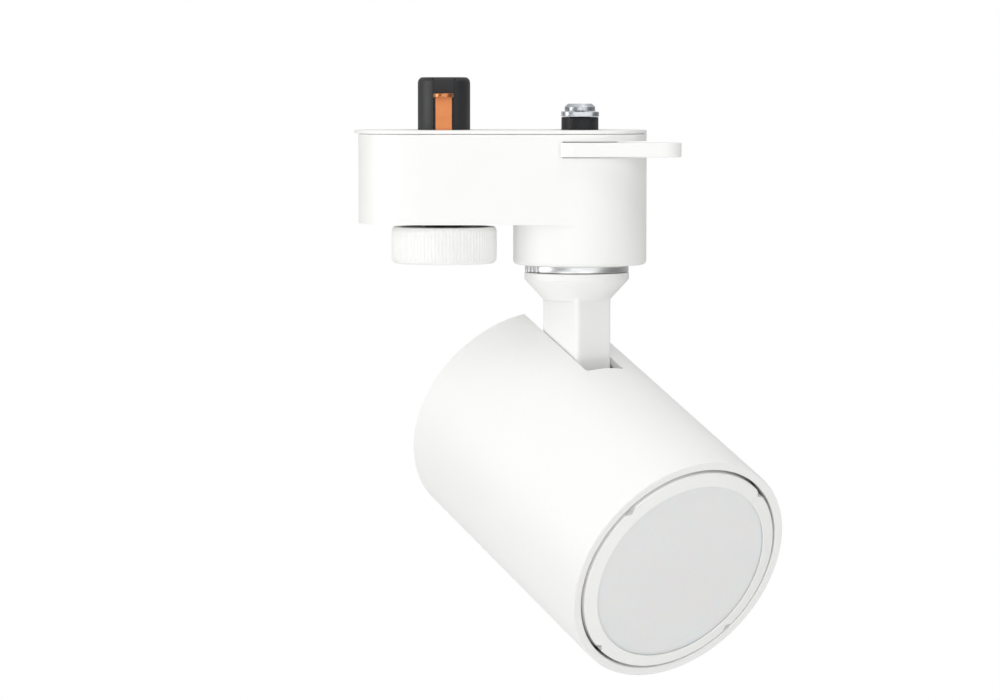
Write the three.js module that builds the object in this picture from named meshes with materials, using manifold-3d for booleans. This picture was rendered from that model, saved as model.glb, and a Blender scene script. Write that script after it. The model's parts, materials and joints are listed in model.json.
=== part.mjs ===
// Track spotlight: an adapter with a contact knob and a locking lever, a swivelling stem, and a tubular head
// that tilts on the stem and carries a twist-off front ring. Millimetres, +Z up.
// The origin is the centre of the adapter's seat face, and +X runs along the track towards the head.

import * as THREE from "three";
import { mergeVertices } from "three/addons/utils/BufferGeometryUtils.js";
import Module from "manifold-3d";

const wasm = await Module();
wasm.setup();

const { degToRad } = THREE.MathUtils;
const quarterTurn = Math.PI / 2;

// ---- How the lamp is set at rest ----

const headingTurn = degToRad(-56); // the stem, turned from +X about +Z
const tiltTurn = degToRad(25); // the head, nose down from level

// ---- Clearances ----

const looseGap = 0.3; // a turning piece in its hole, or a bought part in its seat
const boltGap = 0.15; // a screw or shaft in its hole
const stackGap = 0.15; // between pieces stacked on one shaft
const sightGap = 0.35; // a gap that shows, round the lever and the cover

// ---- Facets ----

const largeSides = 40;
const mediumSides = 24;
const smallSides = 12;

// ---- Adapter ----

const adapterLength = 71.5;
const adapterWidth = 33.1;
const adapterDepth = 23.1; // seat face to the long body's underside
const drumDepth = 33.4; // seat face to the drum's underside
const drumEdge = 1.2; // radius of the drum's lower edge
const shellWall = 1.8;
const drumFloor = 2.0;
const coverThickness = 0.9;
const coverLip = 1.0; // how far the cover reaches past the body at the contact end
const coverGap = 0.2;
const coverScrewInset = 4.6; // end screw, from the body's end
const coverScrewSpread = 22; // between the two middle screws
const coverScrewHead = 2.3;
const coverScrewShank = 1.2;
const coverScrewLength = 8;
const coverScrewDrop = 0.05; // the head's top, under the cover's face
const bossWall = 1.4; // round each cover screw's shank

const bodyEnd = adapterLength / 2;
const bodyHalf = adapterWidth / 2;
const shellTop = -coverThickness - coverGap;
const bodyFloorTop = -adapterDepth + shellWall;
const drumFloorTop = -drumDepth + drumFloor;
const cavityRadius = bodyHalf - shellWall;
const bossRadius = coverScrewShank + bossWall;

// ---- Contact rotor ----

const knobSideGap = 4.1; // between the knob and the drum
const knobRadius = 13.05;
const knobHeight = 9.1;
const knobGap = 0.9; // between the knob and the body
const knobRibs = 90;
const ribDepth = 0.25;
const knobEdge = 1.0;
const knobBand = 0.5; // the plain band above the ribs
const knobWall = 1.9; // the rim, round the well in the knob's top
const knobHub = 7.6; // radius of the hub inside the well
const knobWell = 5; // depth of the well
const knobSocketFloor = 3.2; // from the knob's underside
const knobScrew = { head: 2.7, height: 1.4, shank: 1.05, length: 8 };
const knobScrewSink = 1.8;
const knobNeck = 4.8; // radius of the post where it passes the body's floor
const postRadius = 6.5;
const postCollar = 7.2;
const collarHeight = 1.6;
const postTop = 13; // above the seat face
const postChamfer = 1.5;
const keyWidth = 7; // square key between the post and the knob
const bladeThickness = 1.0;
const bladeWidth = 4.0;
const bladeShoulder = 0.5; // the tongue is wider than the tail by this on each side
const bladeReach = 13.3; // blade tip, from the contact axis
const bladeHeight = 8; // blade's underside, above the seat face
const bladeTail = 16; // the tail's end, below the seat face

const contactX = bodyEnd - 2 * bodyHalf - knobSideGap - knobRadius;
const knobTop = -adapterDepth - knobGap;
const knobBottom = knobTop - knobHeight;
const bladeFace = postRadius - bladeThickness - boltGap; // a blade's inner face, from the contact axis

// ---- Terminals and leads in the adapter ----

const terminalThickness = 0.5;
const terminalWidth = 6;
const terminalHigh = -10;
const terminalFoot = -18.6; // the foot's underside is just below this
const footThickness = 0.6;
const terminalScrew = { head: 1.5, height: 1.1, shank: 0.8, length: 2.2 };
const terminalScrewInset = 2.75; // the screw's axis, from the cavity's wall
const ledgeWidth = 4.75; // from the cavity's wall
const leadRadius = 0.9;

// The cavity narrows in the body's half-round end, so the terminals' space is its half width beside them.
const pastCentre = Math.max(0, bodyHalf - bodyEnd - contactX + terminalWidth / 2);
const terminalSpace = Math.sqrt(cavityRadius ** 2 - pastCentre ** 2);

// ---- Lock ----

const leverThickness = 3.6;
const leverTop = -2.95;
const leverBarWidth = 9; // with half-round ends
const leverProud = 2.25; // how far the bar stands out of the body
const leverBack = 5.1; // the bar's inner end, back from the lock axis
const leverReach = 24.55; // the bar's outer end, forward of the lock axis
const leverArmBack = 3.6; // the arm through the window, back from the lock axis
const leverHub = 9.5;
const lockSwing = degToRad(90);
const lockNeck = 4.6;
const lockSquare = 6;
const lockCollar = 6.5;
const plateHeight = 3.3; // lock plate's underside, above the seat face
const plateThickness = 1.2;
const plateLength = 24;
const plateWidth = 9;
const plateSquare = 5;
const clipThickness = 0.8;
const clipRadius = 5.5;
const clipOpening = 3.2;
const lockNose = 2.6; // radius of the post's lower end
const noseHead = 1; // the nose's head stands out this far, under the clip
const plateScrew = { head: 3.8, height: 1.8, shank: 1.2, length: 6 };

const lockX = bodyEnd - bodyHalf;
const leverBottom = leverTop - leverThickness;
const leverFront = -bodyHalf - leverProud;

// ---- Swivel ----

const swivelOffset = 0.75; // swivel axis, back from the lock axis
const ringRadius = 12.9;
const ringThickness = 1.6;
const toothGaps = 6; // in one row round the washer's edge
const toothPitch = degToRad(9);
const toothRowTurn = degToRad(176); // the row's first gap, from +X
const toothGapWidth = 1.1;
const toothGapDepth = 0.8;
const nippleRadius = 5;
const nippleBore = 3.3;
const nippleTop = 9.8; // above the drum's underside
const nippleDepth = 4.2; // in the flange
const stopRadius = 10.5;
const stopThickness = 1;
const stopTab = 3; // width of the stop tab and of the rib that it meets
const springRadius = 9.5;
const springThickness = 0.6;
const springRise = 0.7;
const nutWall = 2; // the nut's flats, out from the nipple
const nutHeight = 4;

const swivelX = lockX - swivelOffset;
const ringTop = -drumDepth - 0.1;
const flangeTop = ringTop - ringThickness - 0.2;
const nutAcross = 2 * (nippleRadius + nutWall);
const stopLow = drumFloorTop + 0.2;
const springLow = stopLow + stopThickness + 0.1;
const nutLow = springLow + springRise + springThickness + 0.1;

// ---- Stem ----

const flangeRadius = 13;
const flangeHeight = 1.9;
const grooveDepth = 0.45;
const grooveHeight = 0.3;
const coneHeight = 4.7;
const coneStep = 0.55; // the cone's foot, out from the bar's deep sides
const barThickness = 10.6; // along the tilt axis
const barDepth = 15.3; // along the heading
const barCorner = 1.0;
const eyeOffset = 3; // tilt axis, behind the swivel axis
const eyeRadius = 4.6;
const barFootRise = 6.5; // the bar's full depth ends this far above the tilt axis
const wirePassage = 2.6; // radius
const wireExit = 4; // width of the opening in the bar's front face

// ---- Head ----

const canRadius = 30;
const canWall = 2.35;
const canEdge = 0.3;
const rearReach = 19.17; // tilt axis back to the rear rim
const frontReach = 58.33; // tilt axis forward to the front rim
const pivotDepth = 13.87; // tilt axis below the can's top line
const slotSide = 0.3; // between the slot's sides and the bar
const slotCorner = 0.9;
const slotEndGap = 0.3; // the slot's end, ahead of the level stem
const swingGap = 0.34; // rear rim under the cone as the head tilts

const canBore = canRadius - canWall;
const slotWidth = barThickness + 2 * slotSide;
const pivotHeight = canRadius - pivotDepth; // above the can's axis
const barFront = barDepth / 2 + eyeOffset; // the bar's front face, ahead of the tilt axis
const barRear = barDepth / 2 - eyeOffset;
const coneFoot = barDepth / 2 + coneStep;
const slotEnd = barFront + slotEndGap;
const coneBottom = flangeTop - flangeHeight - grooveHeight - coneHeight;
const pivotDrop = Math.hypot(rearReach, pivotDepth) + swingGap; // cone to tilt axis
const pivotZ = coneBottom - pivotDrop;

// ---- Pivot ----

const pinRadius = 2;
const frictionThickness = 0.8;
const frictionRadius = 4.4;
const cheekThickness = 1.6;
const cheekRadius = 5.5;
const pivotHeadRadius = 3.6;
const pivotHeadHeight = 2.2;
const pivotNutAcross = 7;
const pivotNutHeight = 3.2;

const bracketRise = 6.5; // the bracket's top, above the tilt axis
const bracketDrop = 9.5; // its lower edge, below the tilt axis
const bracketScrew = { head: 2.4, height: 1.2, shank: 1.25 };

const frictionInner = barThickness / 2 + stackGap;
const cheekInner = frictionInner + frictionThickness + stackGap;
const cheekOuter = cheekInner + cheekThickness;
const bracketBack = slotEnd + 1.2;
const bracketFront = bracketBack + cheekThickness;
const bracketScrewHeights = [pivotHeight - 6.5, pivotHeight + 3.5];

// ---- Inside the head ----

const rearCoverThickness = 2.5;
const rearCoverInset = 0.3; // behind the rear rim
const notchGap = 0.65; // round the bar, with the head straight down
const tieInset = 6.11; // tie screws, in from the can's bore
const tieDrop = 8; // tie screws, below the can's axis
const tieRadius = 1.5;
const tieHead = 2.7;
const tieHeadHeight = 1.5;
const screwBite = 1.5; // a screw's reach past the heat sink's rear plate
const sinkPlate = 3;
const sinkFins = 9.9;
const sinkFrontPlate = 4;
const finCount = 16;
const finThickness = 1.4;
const finHub = 10;
const ledLeadDrop = 13; // the leads' hole, below the can's axis
const leadHole = 3; // radius
const ledLeadRadius = 0.8;
const ledBoardSide = 20;
const ledBoardThickness = 1.5;
const emitterRadius = 7;
const emitterThickness = 0.6;
const holderRadius = 19;
const holderHeight = 4.8;
const holderScrewInset = 2.5;
const holderScrew = { head: 1.9, height: 1.2, shank: 1 };
const reflectorWall = 0.8;
const mouthInset = 0.2; // the reflector's mouth, inside the diffuser's edge
const boardThickness = 1.6;
const trayWidth = 32;
const trayHeight = 7;
const trayWall = 1.5;
const trayGap = 2.43; // the tray's lower edges, in from the can's bore
const railHeight = 2;

const sinkBack = bracketFront + looseGap;
const sinkFinsBack = sinkBack + sinkPlate;
const sinkFinsFront = sinkFinsBack + sinkFins;
const sinkFront = sinkFinsFront + sinkFrontPlate;
const tieSpread = Math.sqrt((canBore - tieInset) ** 2 - tieDrop ** 2);
const trayBack = -rearReach + rearCoverThickness + 1;
const trayFront = bracketBack - 0.8;
const trayDrop = Math.sqrt((canBore - trayGap) ** 2 - (trayWidth / 2) ** 2);
const holderScrewSpread = 2 * (holderRadius - holderScrewInset);

// ---- Front ring ----

const ringGap = 0.6; // between the front ring and the can's bore
const frontRingProud = 0.25; // the ring's outer edge, ahead of the rim
const frontRingRise = 0.9; // the ring's inner lip, ahead of the rim
const lipWall = 0.35;
const ringBand = 2.85; // from the ring's outer edge to the diffuser's edge
const diffuserThickness = 2;
const lipOverlap = 0.6;
const ringNotchWidth = 3.2;
const ringNotchDepth = 1.1;
const ringNotchTurn = degToRad(3.5); // the notches, past 45 degrees from the lamp's lowest line
const ringNotchLength = 2.2;
const skirtWall = 0.95;
const lugCount = 3;
const lugArc = degToRad(18);
const lugHeight = 1.3;
const lugThickness = 1.2;
const bayonetTurn = degToRad(24);
const collarWall = 0.4;
const flangeThickness = 1.4;

const frontRingRadius = canBore - ringGap;
const diffuserRadius = frontRingRadius - ringBand;
const reflectorMouth = diffuserRadius - mouthInset;
const lipFront = frontReach + frontRingRise;
const diffuserFront = lipFront - lipWall - 0.1;
const diffuserBack = diffuserFront - diffuserThickness;
const seatRadius = diffuserRadius + 0.2;
const skirtRadius = seatRadius + skirtWall;
const shoulder = frontReach - 3.6; // where the ring's full width ends
const collarFront = shoulder - 0.4;
const collarBack = collarFront - flangeThickness - lugThickness - 2 * sightGap;
const skirtBack = collarFront - flangeThickness - sightGap - lugThickness;

// ---- Along the can's axis, from the heat sink forward ----

const boardBack = sinkFront + 0.2;
const emitterBack = boardBack + ledBoardThickness + 0.1;
const holderBack = sinkFront + 0.2;
const holderFront = holderBack + holderHeight;
const reflectorBack = holderFront + 0.3;
const reflectorFront = diffuserBack - 0.2;

// ---- Finishes ----

const whitePlastic = { color: 0xf4f4f3, roughness: 0.42, metalness: 0 };
const whiteEnamel = { color: 0xf0f0f0, roughness: 0.55, metalness: 0 };
const frostedPlastic = { color: 0xe4e4e4, roughness: 0.7, metalness: 0 };
const plainSteel = { color: 0xb9bcc0, roughness: 0.3, metalness: 1 };
const copper = { color: 0xc77b4a, roughness: 0.3, metalness: 1 };
const brass = { color: 0xd2b26a, roughness: 0.3, metalness: 1 };
const castAluminium = { color: 0xc4c6c8, roughness: 0.45, metalness: 1 };
const mirrorFinish = { color: 0xe6e8ea, roughness: 0.12, metalness: 1 };
const blackPlastic = { color: 0x202124, roughness: 0.5, metalness: 0 };
const greyPlastic = { color: 0xa8a9a8, roughness: 0.5, metalness: 0 };
const circuitGreen = { color: 0x2e6b45, roughness: 0.5, metalness: 0 };
const phosphor = { color: 0xe9c33a, roughness: 0.6, metalness: 0 };
const redSheath = { color: 0xa8342a, roughness: 0.5, metalness: 0 };
const blueSheath = { color: 0x2c4f8f, roughness: 0.5, metalness: 0 };

// ---- Shapes ----

// A closed three.js geometry as a solid that can be joined and cut.
function solid(shape) {
  if (shape instanceof wasm.Manifold) return shape;
  const loose = shape.index ? shape.toNonIndexed() : shape;
  const bare = new THREE.BufferGeometry();
  bare.setAttribute("position", loose.getAttribute("position"));
  const merged = mergeVertices(bare, 1e-4);
  const corners = merged.index.array;
  const kept = [];
  for (let i = 0; i < corners.length; i += 3) {
    const [a, b, c] = corners.slice(i, i + 3);
    if (a !== b && b !== c && c !== a) kept.push(a, b, c);
  }
  const vertProperties = new Float32Array(merged.getAttribute("position").array);
  return new wasm.Manifold(new wasm.Mesh({ numProp: 3, vertProperties, triVerts: new Uint32Array(kept) }));
}

function join(...shapes) {
  return shapes.map(solid).reduce((a, b) => a.add(b));
}

function cut(shape, ...tools) {
  return tools.map(solid).reduce((a, b) => a.subtract(b), solid(shape));
}

function common(a, b) {
  return solid(a).intersect(solid(b));
}

// Points on an arc, both ends included.
function arc(x, y, radius, from, to, steps) {
  return Array.from({ length: steps + 1 }, (_, i) => {
    const angle = from + ((to - from) * i) / steps;
    return new THREE.Vector2(x + radius * Math.cos(angle), y + radius * Math.sin(angle));
  });
}

// A long outline with half-round ends.
function stadium(left, right, half, steps = largeSides / 2) {
  return [
    ...arc(right - half, 0, half, -quarterTurn, quarterTurn, steps),
    ...arc(left + half, 0, half, quarterTurn, 3 * quarterTurn, steps),
  ];
}

// A rectangle about the origin with rounded corners.
function roundedRectangle(halfX, halfY, corner, steps = 4) {
  const corners = [
    [halfX - corner, halfY - corner],
    [corner - halfX, halfY - corner],
    [corner - halfX, corner - halfY],
    [halfX - corner, corner - halfY],
  ];
  return corners.flatMap(([x, y], i) => arc(x, y, corner, i * quarterTurn, (i + 1) * quarterTurn, steps));
}

// A regular polygon by its width across the flats.
function polygon(across, sides) {
  const radius = across / 2 / Math.cos(Math.PI / sides);
  return arc(0, 0, radius, 0, 2 * Math.PI, sides).slice(0, sides);
}

// A star outline whose radius swaps between two values, with one tip for each tooth.
function toothed(tipRadius, rootRadius, teeth) {
  return Array.from({ length: 2 * teeth }, (_, i) => {
    const angle = (i * Math.PI) / teeth;
    const radius = i % 2 ? rootRadius : tipRadius;
    return new THREE.Vector2(radius * Math.cos(angle), radius * Math.sin(angle));
  });
}

// An outline raised between two heights.
function plate(points, low, high) {
  const depth = high - low;
  const geometry = new THREE.ExtrudeGeometry(new THREE.Shape(points), { depth, bevelEnabled: false });
  return geometry.translate(0, 0, low);
}

// A round bar about Z.
function round(radius, low, high, sides = smallSides) {
  const geometry = new THREE.CylinderGeometry(radius, radius, high - low, sides);
  return geometry.rotateX(quarterTurn).translate(0, 0, (low + high) / 2);
}

// A profile of [radius, height] points turned about Z. It starts and ends on the axis, or closes on itself.
function turned(profile, sides = mediumSides) {
  const onAxis = profile[0][0] === 0;
  const points = profile.map(([radius, height]) => new THREE.Vector2(radius, height));
  const area = THREE.ShapeUtils.area(points);
  if (!onAxis) points.push(points[0].clone());
  if (area < 0) points.reverse();
  return new THREE.LatheGeometry(points, sides).rotateX(quarterTurn);
}

// A tube about Z.
function tube(inner, outer, low, high, sides = smallSides) {
  return turned([[inner, low], [outer, low], [outer, high], [inner, high]], sides);
}

function box(low, high) {
  const size = high.map((value, i) => value - low[i]);
  const middle = high.map((value, i) => (value + low[i]) / 2);
  return new THREE.BoxGeometry(...size).translate(...middle);
}

// A shape about Z laid down to run along X, with its +X side turned to -Z.
function laid(geometry) {
  return geometry.rotateY(quarterTurn);
}

// A shape about Z laid down to run along Y.
function across(geometry) {
  return geometry.rotateX(-quarterTurn);
}

// A round wire along a smooth path through the points.
function wire(points, radius) {
  const path = new THREE.CatmullRomCurve3(points.map((point) => new THREE.Vector3(...point)));
  const section = new THREE.Shape(arc(0, 0, radius, 0, 2 * Math.PI, 6).slice(0, 6));
  return new THREE.ExtrudeGeometry(section, { steps: 12, extrudePath: path });
}

// Cuts a cross recess down from a height, with arms of a reach and a half width.
function crossed(shape, arm, slot, floor) {
  const high = floor + 5;
  return cut(
    shape,
    box([-arm, -slot, floor], [arm, slot, high]),
    box([-slot, -arm, floor], [slot, arm, high]),
  );
}

// A pan-head screw about Z: the head's underside is at 0 and the shank runs down.
function panScrew({ head, height, shank, length }) {
  const screw = turned([
    [0, -length],
    [shank, -length],
    [shank, 0],
    [head, 0],
    [head, height * 0.6],
    [head * 0.75, height],
    [0, height],
  ], smallSides);
  return crossed(screw, head * 0.6, head * 0.12, height * 0.5);
}

// A solid as a three.js geometry.
function geometryOf(shape) {
  const { vertProperties, triVerts } = solid(shape).getMesh();
  const geometry = new THREE.BufferGeometry();
  geometry.setAttribute("position", new THREE.BufferAttribute(new Float32Array(vertProperties), 3));
  geometry.setIndex(new THREE.BufferAttribute(new Uint32Array(triVerts), 1));
  geometry.computeVertexNormals();
  return geometry;
}

// Adds a named mesh with its own material to a group.
function piece(group, name, shape, finish) {
  const mesh = new THREE.Mesh(geometryOf(shape), new THREE.MeshStandardMaterial(finish));
  mesh.name = name;
  group.add(mesh);
  return mesh;
}

const lamp = new THREE.Group();

// ---- Adapter body and cover ----

const terminalScrewY = terminalSpace - terminalScrewInset;
const middleX = (contactX + lockX) / 2;
const coverScrewPlaces = [
  [-bodyEnd + coverScrewInset, 0],
  [middleX, coverScrewSpread / 2],
  [middleX, -coverScrewSpread / 2],
];

// The window that lets the lever's arm swing: a sector of the round end, from the arm's back edge at rest
// to its front edge after the swing.
function leverWindow() {
  const outside = leverReach + adapterWidth;
  const armInner = -leverFront - leverBarWidth;
  const slack = sightGap / cavityRadius;
  const from = Math.atan2(-Math.sqrt(cavityRadius ** 2 - leverArmBack ** 2), -leverArmBack) - slack;
  const to = lockSwing - Math.asin(armInner / bodyHalf) + slack;
  const inner = cavityRadius - 3;
  const outline = [...arc(0, 0, outside, from, to, 12), ...arc(0, 0, inner, to, from, 12)];
  return plate(outline, leverBottom - sightGap, leverTop + sightGap).translate(lockX, 0, 0);
}

// A rib on the drum's floor, opposite the stop washer's tab at rest.
function stopRib() {
  const outer = cavityRadius + swivelOffset + 0.6;
  const inner = stopRadius + 2 * looseGap;
  return common(
    box([-outer, -stopTab / 2, drumFloorTop - 0.5], [-inner, stopTab / 2, stopLow + stopThickness + 0.3])
      .rotateZ(headingTurn)
      .translate(swivelX, 0, 0),
    round(bodyHalf - 0.2, -drumDepth, 0, largeSides).translate(lockX, 0, 0),
  );
}

function adapterBody() {
  const edgeHeight = -drumDepth + drumEdge;
  const edge = arc(bodyHalf - drumEdge, edgeHeight, drumEdge, -quarterTurn, 0, 4).map((p) => [p.x, p.y]);
  const drum = turned([[0, -drumDepth], ...edge, [bodyHalf, bodyFloorTop], [0, bodyFloorTop]], largeSides);
  const outer = join(
    plate(stadium(-bodyEnd, bodyEnd, bodyHalf), -adapterDepth, shellTop),
    drum.translate(lockX, 0, 0),
  );
  const shell = cut(
    outer,
    plate(stadium(-bodyEnd + shellWall, bodyEnd - shellWall, cavityRadius), bodyFloorTop, 1),
    round(cavityRadius, drumFloorTop, bodyFloorTop + 1, largeSides).translate(lockX, 0, 0),
  );
  const bosses = coverScrewPlaces.map(([x, y]) =>
    round(bossRadius, bodyFloorTop - 0.5, shellTop + 0.1).translate(x, y, 0));
  const ledges = [-1, 1].map((side) => {
    const [near, far] = [side * (terminalSpace - ledgeWidth), side * (cavityRadius + 0.5)];
    return common(
      box(
        [contactX - terminalWidth / 2, Math.min(near, far), bodyFloorTop - 0.5],
        [contactX + terminalWidth / 2, Math.max(near, far), terminalFoot - footThickness + 0.1],
      ),
      outer,
    );
  });
  const filled = join(shell, ...bosses, ...ledges, stopRib());
  const screwHoles = coverScrewPlaces.map(([x, y]) =>
    round(coverScrewShank + boltGap, -coverScrewLength - 1, 1).translate(x, y, 0));
  const terminalHoles = [-1, 1].map((side) =>
    round(terminalScrew.shank + boltGap, bodyFloorTop + 0.3, 0)
      .translate(contactX, side * terminalScrewY, 0));
  return cut(
    filled,
    leverWindow(),
    round(knobNeck + looseGap, -adapterDepth - 1, bodyFloorTop + 1).translate(contactX, 0, 0),
    round(nippleRadius + looseGap, -drumDepth - 1, drumFloorTop + 1).translate(swivelX, 0, 0),
    ...screwHoles,
    ...terminalHoles,
  );
}

function adapterCover() {
  const outline = stadium(-bodyEnd - coverLip, bodyEnd, bodyHalf);
  const sinks = coverScrewPlaces.map(([x, y]) => turned([
    [0, -2],
    [coverScrewShank + boltGap, -2],
    [coverScrewShank + boltGap, -coverThickness],
    [coverScrewHead + 2 * boltGap, 0.1],
    [0, 0.1],
  ], smallSides).translate(x, y, 0));
  return cut(
    plate(outline, -coverThickness, 0),
    round(postRadius + looseGap, -2, 1, mediumSides).translate(contactX, 0, 0),
    round(lockNeck + looseGap, -2, 1, mediumSides).translate(lockX, 0, 0),
    ...sinks,
  );
}

// A countersunk screw about Z with its head's top just under the cover's face.
function coverScrew() {
  const screw = turned([
    [0, -coverScrewLength],
    [coverScrewShank, -coverScrewLength],
    [coverScrewShank, -coverThickness],
    [coverScrewHead, -coverScrewDrop],
    [0, -coverScrewDrop],
  ], smallSides);
  return crossed(screw, coverScrewHead * 0.56, coverScrewHead * 0.13, -coverThickness + 0.2);
}

piece(lamp, "adapter_body", adapterBody(), whitePlastic);
piece(lamp, "adapter_cover", adapterCover(), whitePlastic);
coverScrewPlaces.forEach(([x, y], i) => {
  piece(lamp, "cover_screw_" + (i + 1), coverScrew(), plainSteel).position.set(x, y, 0);
});

// ---- Terminals and leads ----

// A spring strip that stands beside the contact post, with a foot screwed to a ledge of the body.
function terminal(side) {
  const face = postRadius + looseGap;
  const half = terminalWidth / 2;
  const low = terminalFoot - footThickness + 0.2;
  const strip = box([-half, face, low], [half, face + terminalThickness, terminalHigh]);
  const foot = box([-half, face, low], [half, terminalSpace - 0.4, low + footThickness]);
  const hole = round(terminalScrew.shank + boltGap, low - 1, low + 1).translate(0, terminalScrewY, 0);
  const shape = cut(join(strip, foot), hole);
  return side > 0 ? shape : shape.rotate([0, 0, 180]);
}

const poles = [
  { name: "live", side: 1, sheath: redSheath },
  { name: "neutral", side: -1, sheath: blueSheath },
];
poles.forEach(({ name, side, sheath }) => {
  piece(lamp, "terminal_" + name, terminal(side), brass).position.x = contactX;
  piece(lamp, "terminal_screw_" + name, panScrew(terminalScrew), plainSteel)
    .position.set(contactX, side * terminalScrewY, terminalFoot + 0.3);
  const route = [
    [contactX + terminalWidth / 2 + 0.4, side * (terminalSpace - 3.15), terminalFoot + 0.8],
    [contactX + 10, side * (terminalSpace - 5.75), terminalFoot + 1],
    [middleX, side * 5.5, terminalFoot],
    [swivelX - 6, side * 2.6, terminalFoot - 1],
    [swivelX - 1, side * 1.3, -drumDepth + nippleTop + 1.2],
  ];
  piece(lamp, "lead_" + name, wire(route, leadRadius), sheath);
});

// ---- Tooth washer in the gap under the drum ----

// A ring with a short row of gaps cut in its edge.
function toothWasher() {
  const low = ringTop - ringThickness;
  const half = toothGapWidth / 2;
  const gaps = Array.from({ length: toothGaps }, (_, i) =>
    box([ringRadius - toothGapDepth, -half, low - 1], [ringRadius + 1, half, ringTop + 1])
      .rotateZ(toothRowTurn + i * toothPitch));
  return cut(
    round(ringRadius, low, ringTop, largeSides),
    round(nippleRadius + looseGap, low - 1, ringTop + 1),
    ...gaps,
  );
}

piece(lamp, "tooth_washer", toothWasher(), plainSteel).position.x = swivelX;

// ---- Contact rotor ----

const rotor = new THREE.Group();
rotor.position.x = contactX;
lamp.add(rotor);

const grooveFloor = bladeFace - 0.1;

// The knob's ribs run between a plain band at its top and its chamfered lower edge. A hub stands in the open
// well of its top, and a square socket in the hub takes the post.
function contactKnob() {
  const socket = keyWidth / 2 + stackGap;
  const socketFloor = knobBottom + knobSocketFloor;
  const bandLow = knobTop - knobBand;
  return cut(
    join(
      plate(toothed(knobRadius, knobRadius - ribDepth, knobRibs), knobBottom + knobEdge, bandLow),
      turned([
        [0, knobBottom],
        [knobRadius - ribDepth - knobEdge, knobBottom],
        [knobRadius - ribDepth, knobBottom + knobEdge],
        [knobRadius - ribDepth, bandLow],
        [knobRadius - ribDepth - 0.4, knobTop],
        [0, knobTop],
      ], largeSides),
    ),
    tube(knobHub, knobRadius - ribDepth - knobWall, knobTop - knobWell, knobTop + 1),
    box([-socket, -socket, socketFloor], [socket, socket, knobTop + 1]),
    round(knobScrew.shank + 4 * boltGap, knobBottom - 1, socketFloor + 1),
    round(knobScrew.head + 0.5, knobBottom - 1, knobBottom + knobScrewSink),
  );
}

function contactPost() {
  const half = keyWidth / 2;
  const collarLow = bodyFloorTop + looseGap;
  const grooveHalf = bladeWidth / 2 + stackGap;
  const tongueHalf = grooveHalf + bladeShoulder;
  const outside = postRadius + 2;
  const tongueHigh = bladeHeight + bladeThickness + 0.2;
  const grooves = [0, 180].map((turn) => join(
    box([-grooveHalf, grooveFloor, -bladeTail - 0.2], [grooveHalf, outside, bladeHeight]),
    box([-tongueHalf, grooveFloor, bladeHeight - 0.2], [tongueHalf, outside, tongueHigh]),
  ).rotate([0, 0, turn]));
  return cut(
    join(
      box([-half, -half, knobBottom + knobSocketFloor + 0.2], [half, half, knobTop + 0.4]),
      turned([
        [0, knobTop],
        [knobNeck, knobTop],
        [knobNeck, collarLow],
        [postCollar, collarLow],
        [postCollar, collarLow + collarHeight],
        [postRadius, collarLow + collarHeight],
        [postRadius, postTop - postChamfer],
        [postRadius - postChamfer, postTop],
        [0, postTop],
      ], mediumSides),
    ),
    round(knobScrew.shank + 0.2, knobBottom, knobBottom + knobScrewSink + knobScrew.length + 0.2),
    ...grooves,
  );
}

// A strip with its tail in the post's groove and its tongue standing out of the post's side.
function contactBlade() {
  const inner = bladeFace;
  const half = bladeWidth / 2;
  const tongueHalf = half + bladeShoulder;
  const tip = arc(bladeReach - tongueHalf, 0, tongueHalf, -quarterTurn, quarterTurn, 8);
  const tongue = [new THREE.Vector2(inner, tongueHalf), new THREE.Vector2(inner, -tongueHalf), ...tip];
  return join(
    box([-half, inner, -bladeTail], [half, inner + bladeThickness, bladeHeight + 0.5]),
    plate(tongue, bladeHeight, bladeHeight + bladeThickness).rotateZ(quarterTurn),
  );
}

piece(rotor, "contact_knob", contactKnob(), whitePlastic);
piece(rotor, "contact_post", contactPost(), blackPlastic);
poles.forEach(({ name, side }) => {
  piece(rotor, "contact_blade_" + name, contactBlade(), copper).rotation.z = side > 0 ? 0 : Math.PI;
});
const screwInKnob = piece(rotor, "knob_screw", panScrew(knobScrew), plainSteel);
screwInKnob.rotation.x = Math.PI;
screwInKnob.position.z = knobBottom + knobScrewSink - 0.1;

// ---- Lock ----

const lock = new THREE.Group();
lock.position.x = lockX;
lamp.add(lock);

// A flat bar with half-round ends, outside the body, and an arm through the window to a hub on the post.
function lockLever() {
  const end = leverBarWidth / 2;
  const middle = leverFront + end;
  const lipBack = -bodyHalf - sightGap;
  const leftCentre = -leverBack + Math.sqrt(end ** 2 - (middle - lipBack) ** 2);
  const outline = stadium(leftCentre - end, leverReach, end, 12);
  const bar = plate(outline, leverBottom, leverTop).translate(0, middle, 0);
  const insideBack = box([-leverReach, lipBack, leverBottom - 1], [-leverArmBack, 0, leverTop + 1]);
  const arm = box([-leverArmBack, middle, leverBottom], [leverHub, 0, leverTop]);
  const socket = lockSquare / 2 + stackGap;
  return cut(
    join(cut(bar, insideBack), arm, round(leverHub, leverBottom, leverTop, mediumSides)),
    box([-socket, -socket, leverBottom - 1], [socket, socket, leverTop + 1]),
  );
}

const clipTop = leverBottom - stackGap;
const clipBottom = clipTop - clipThickness;

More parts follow.
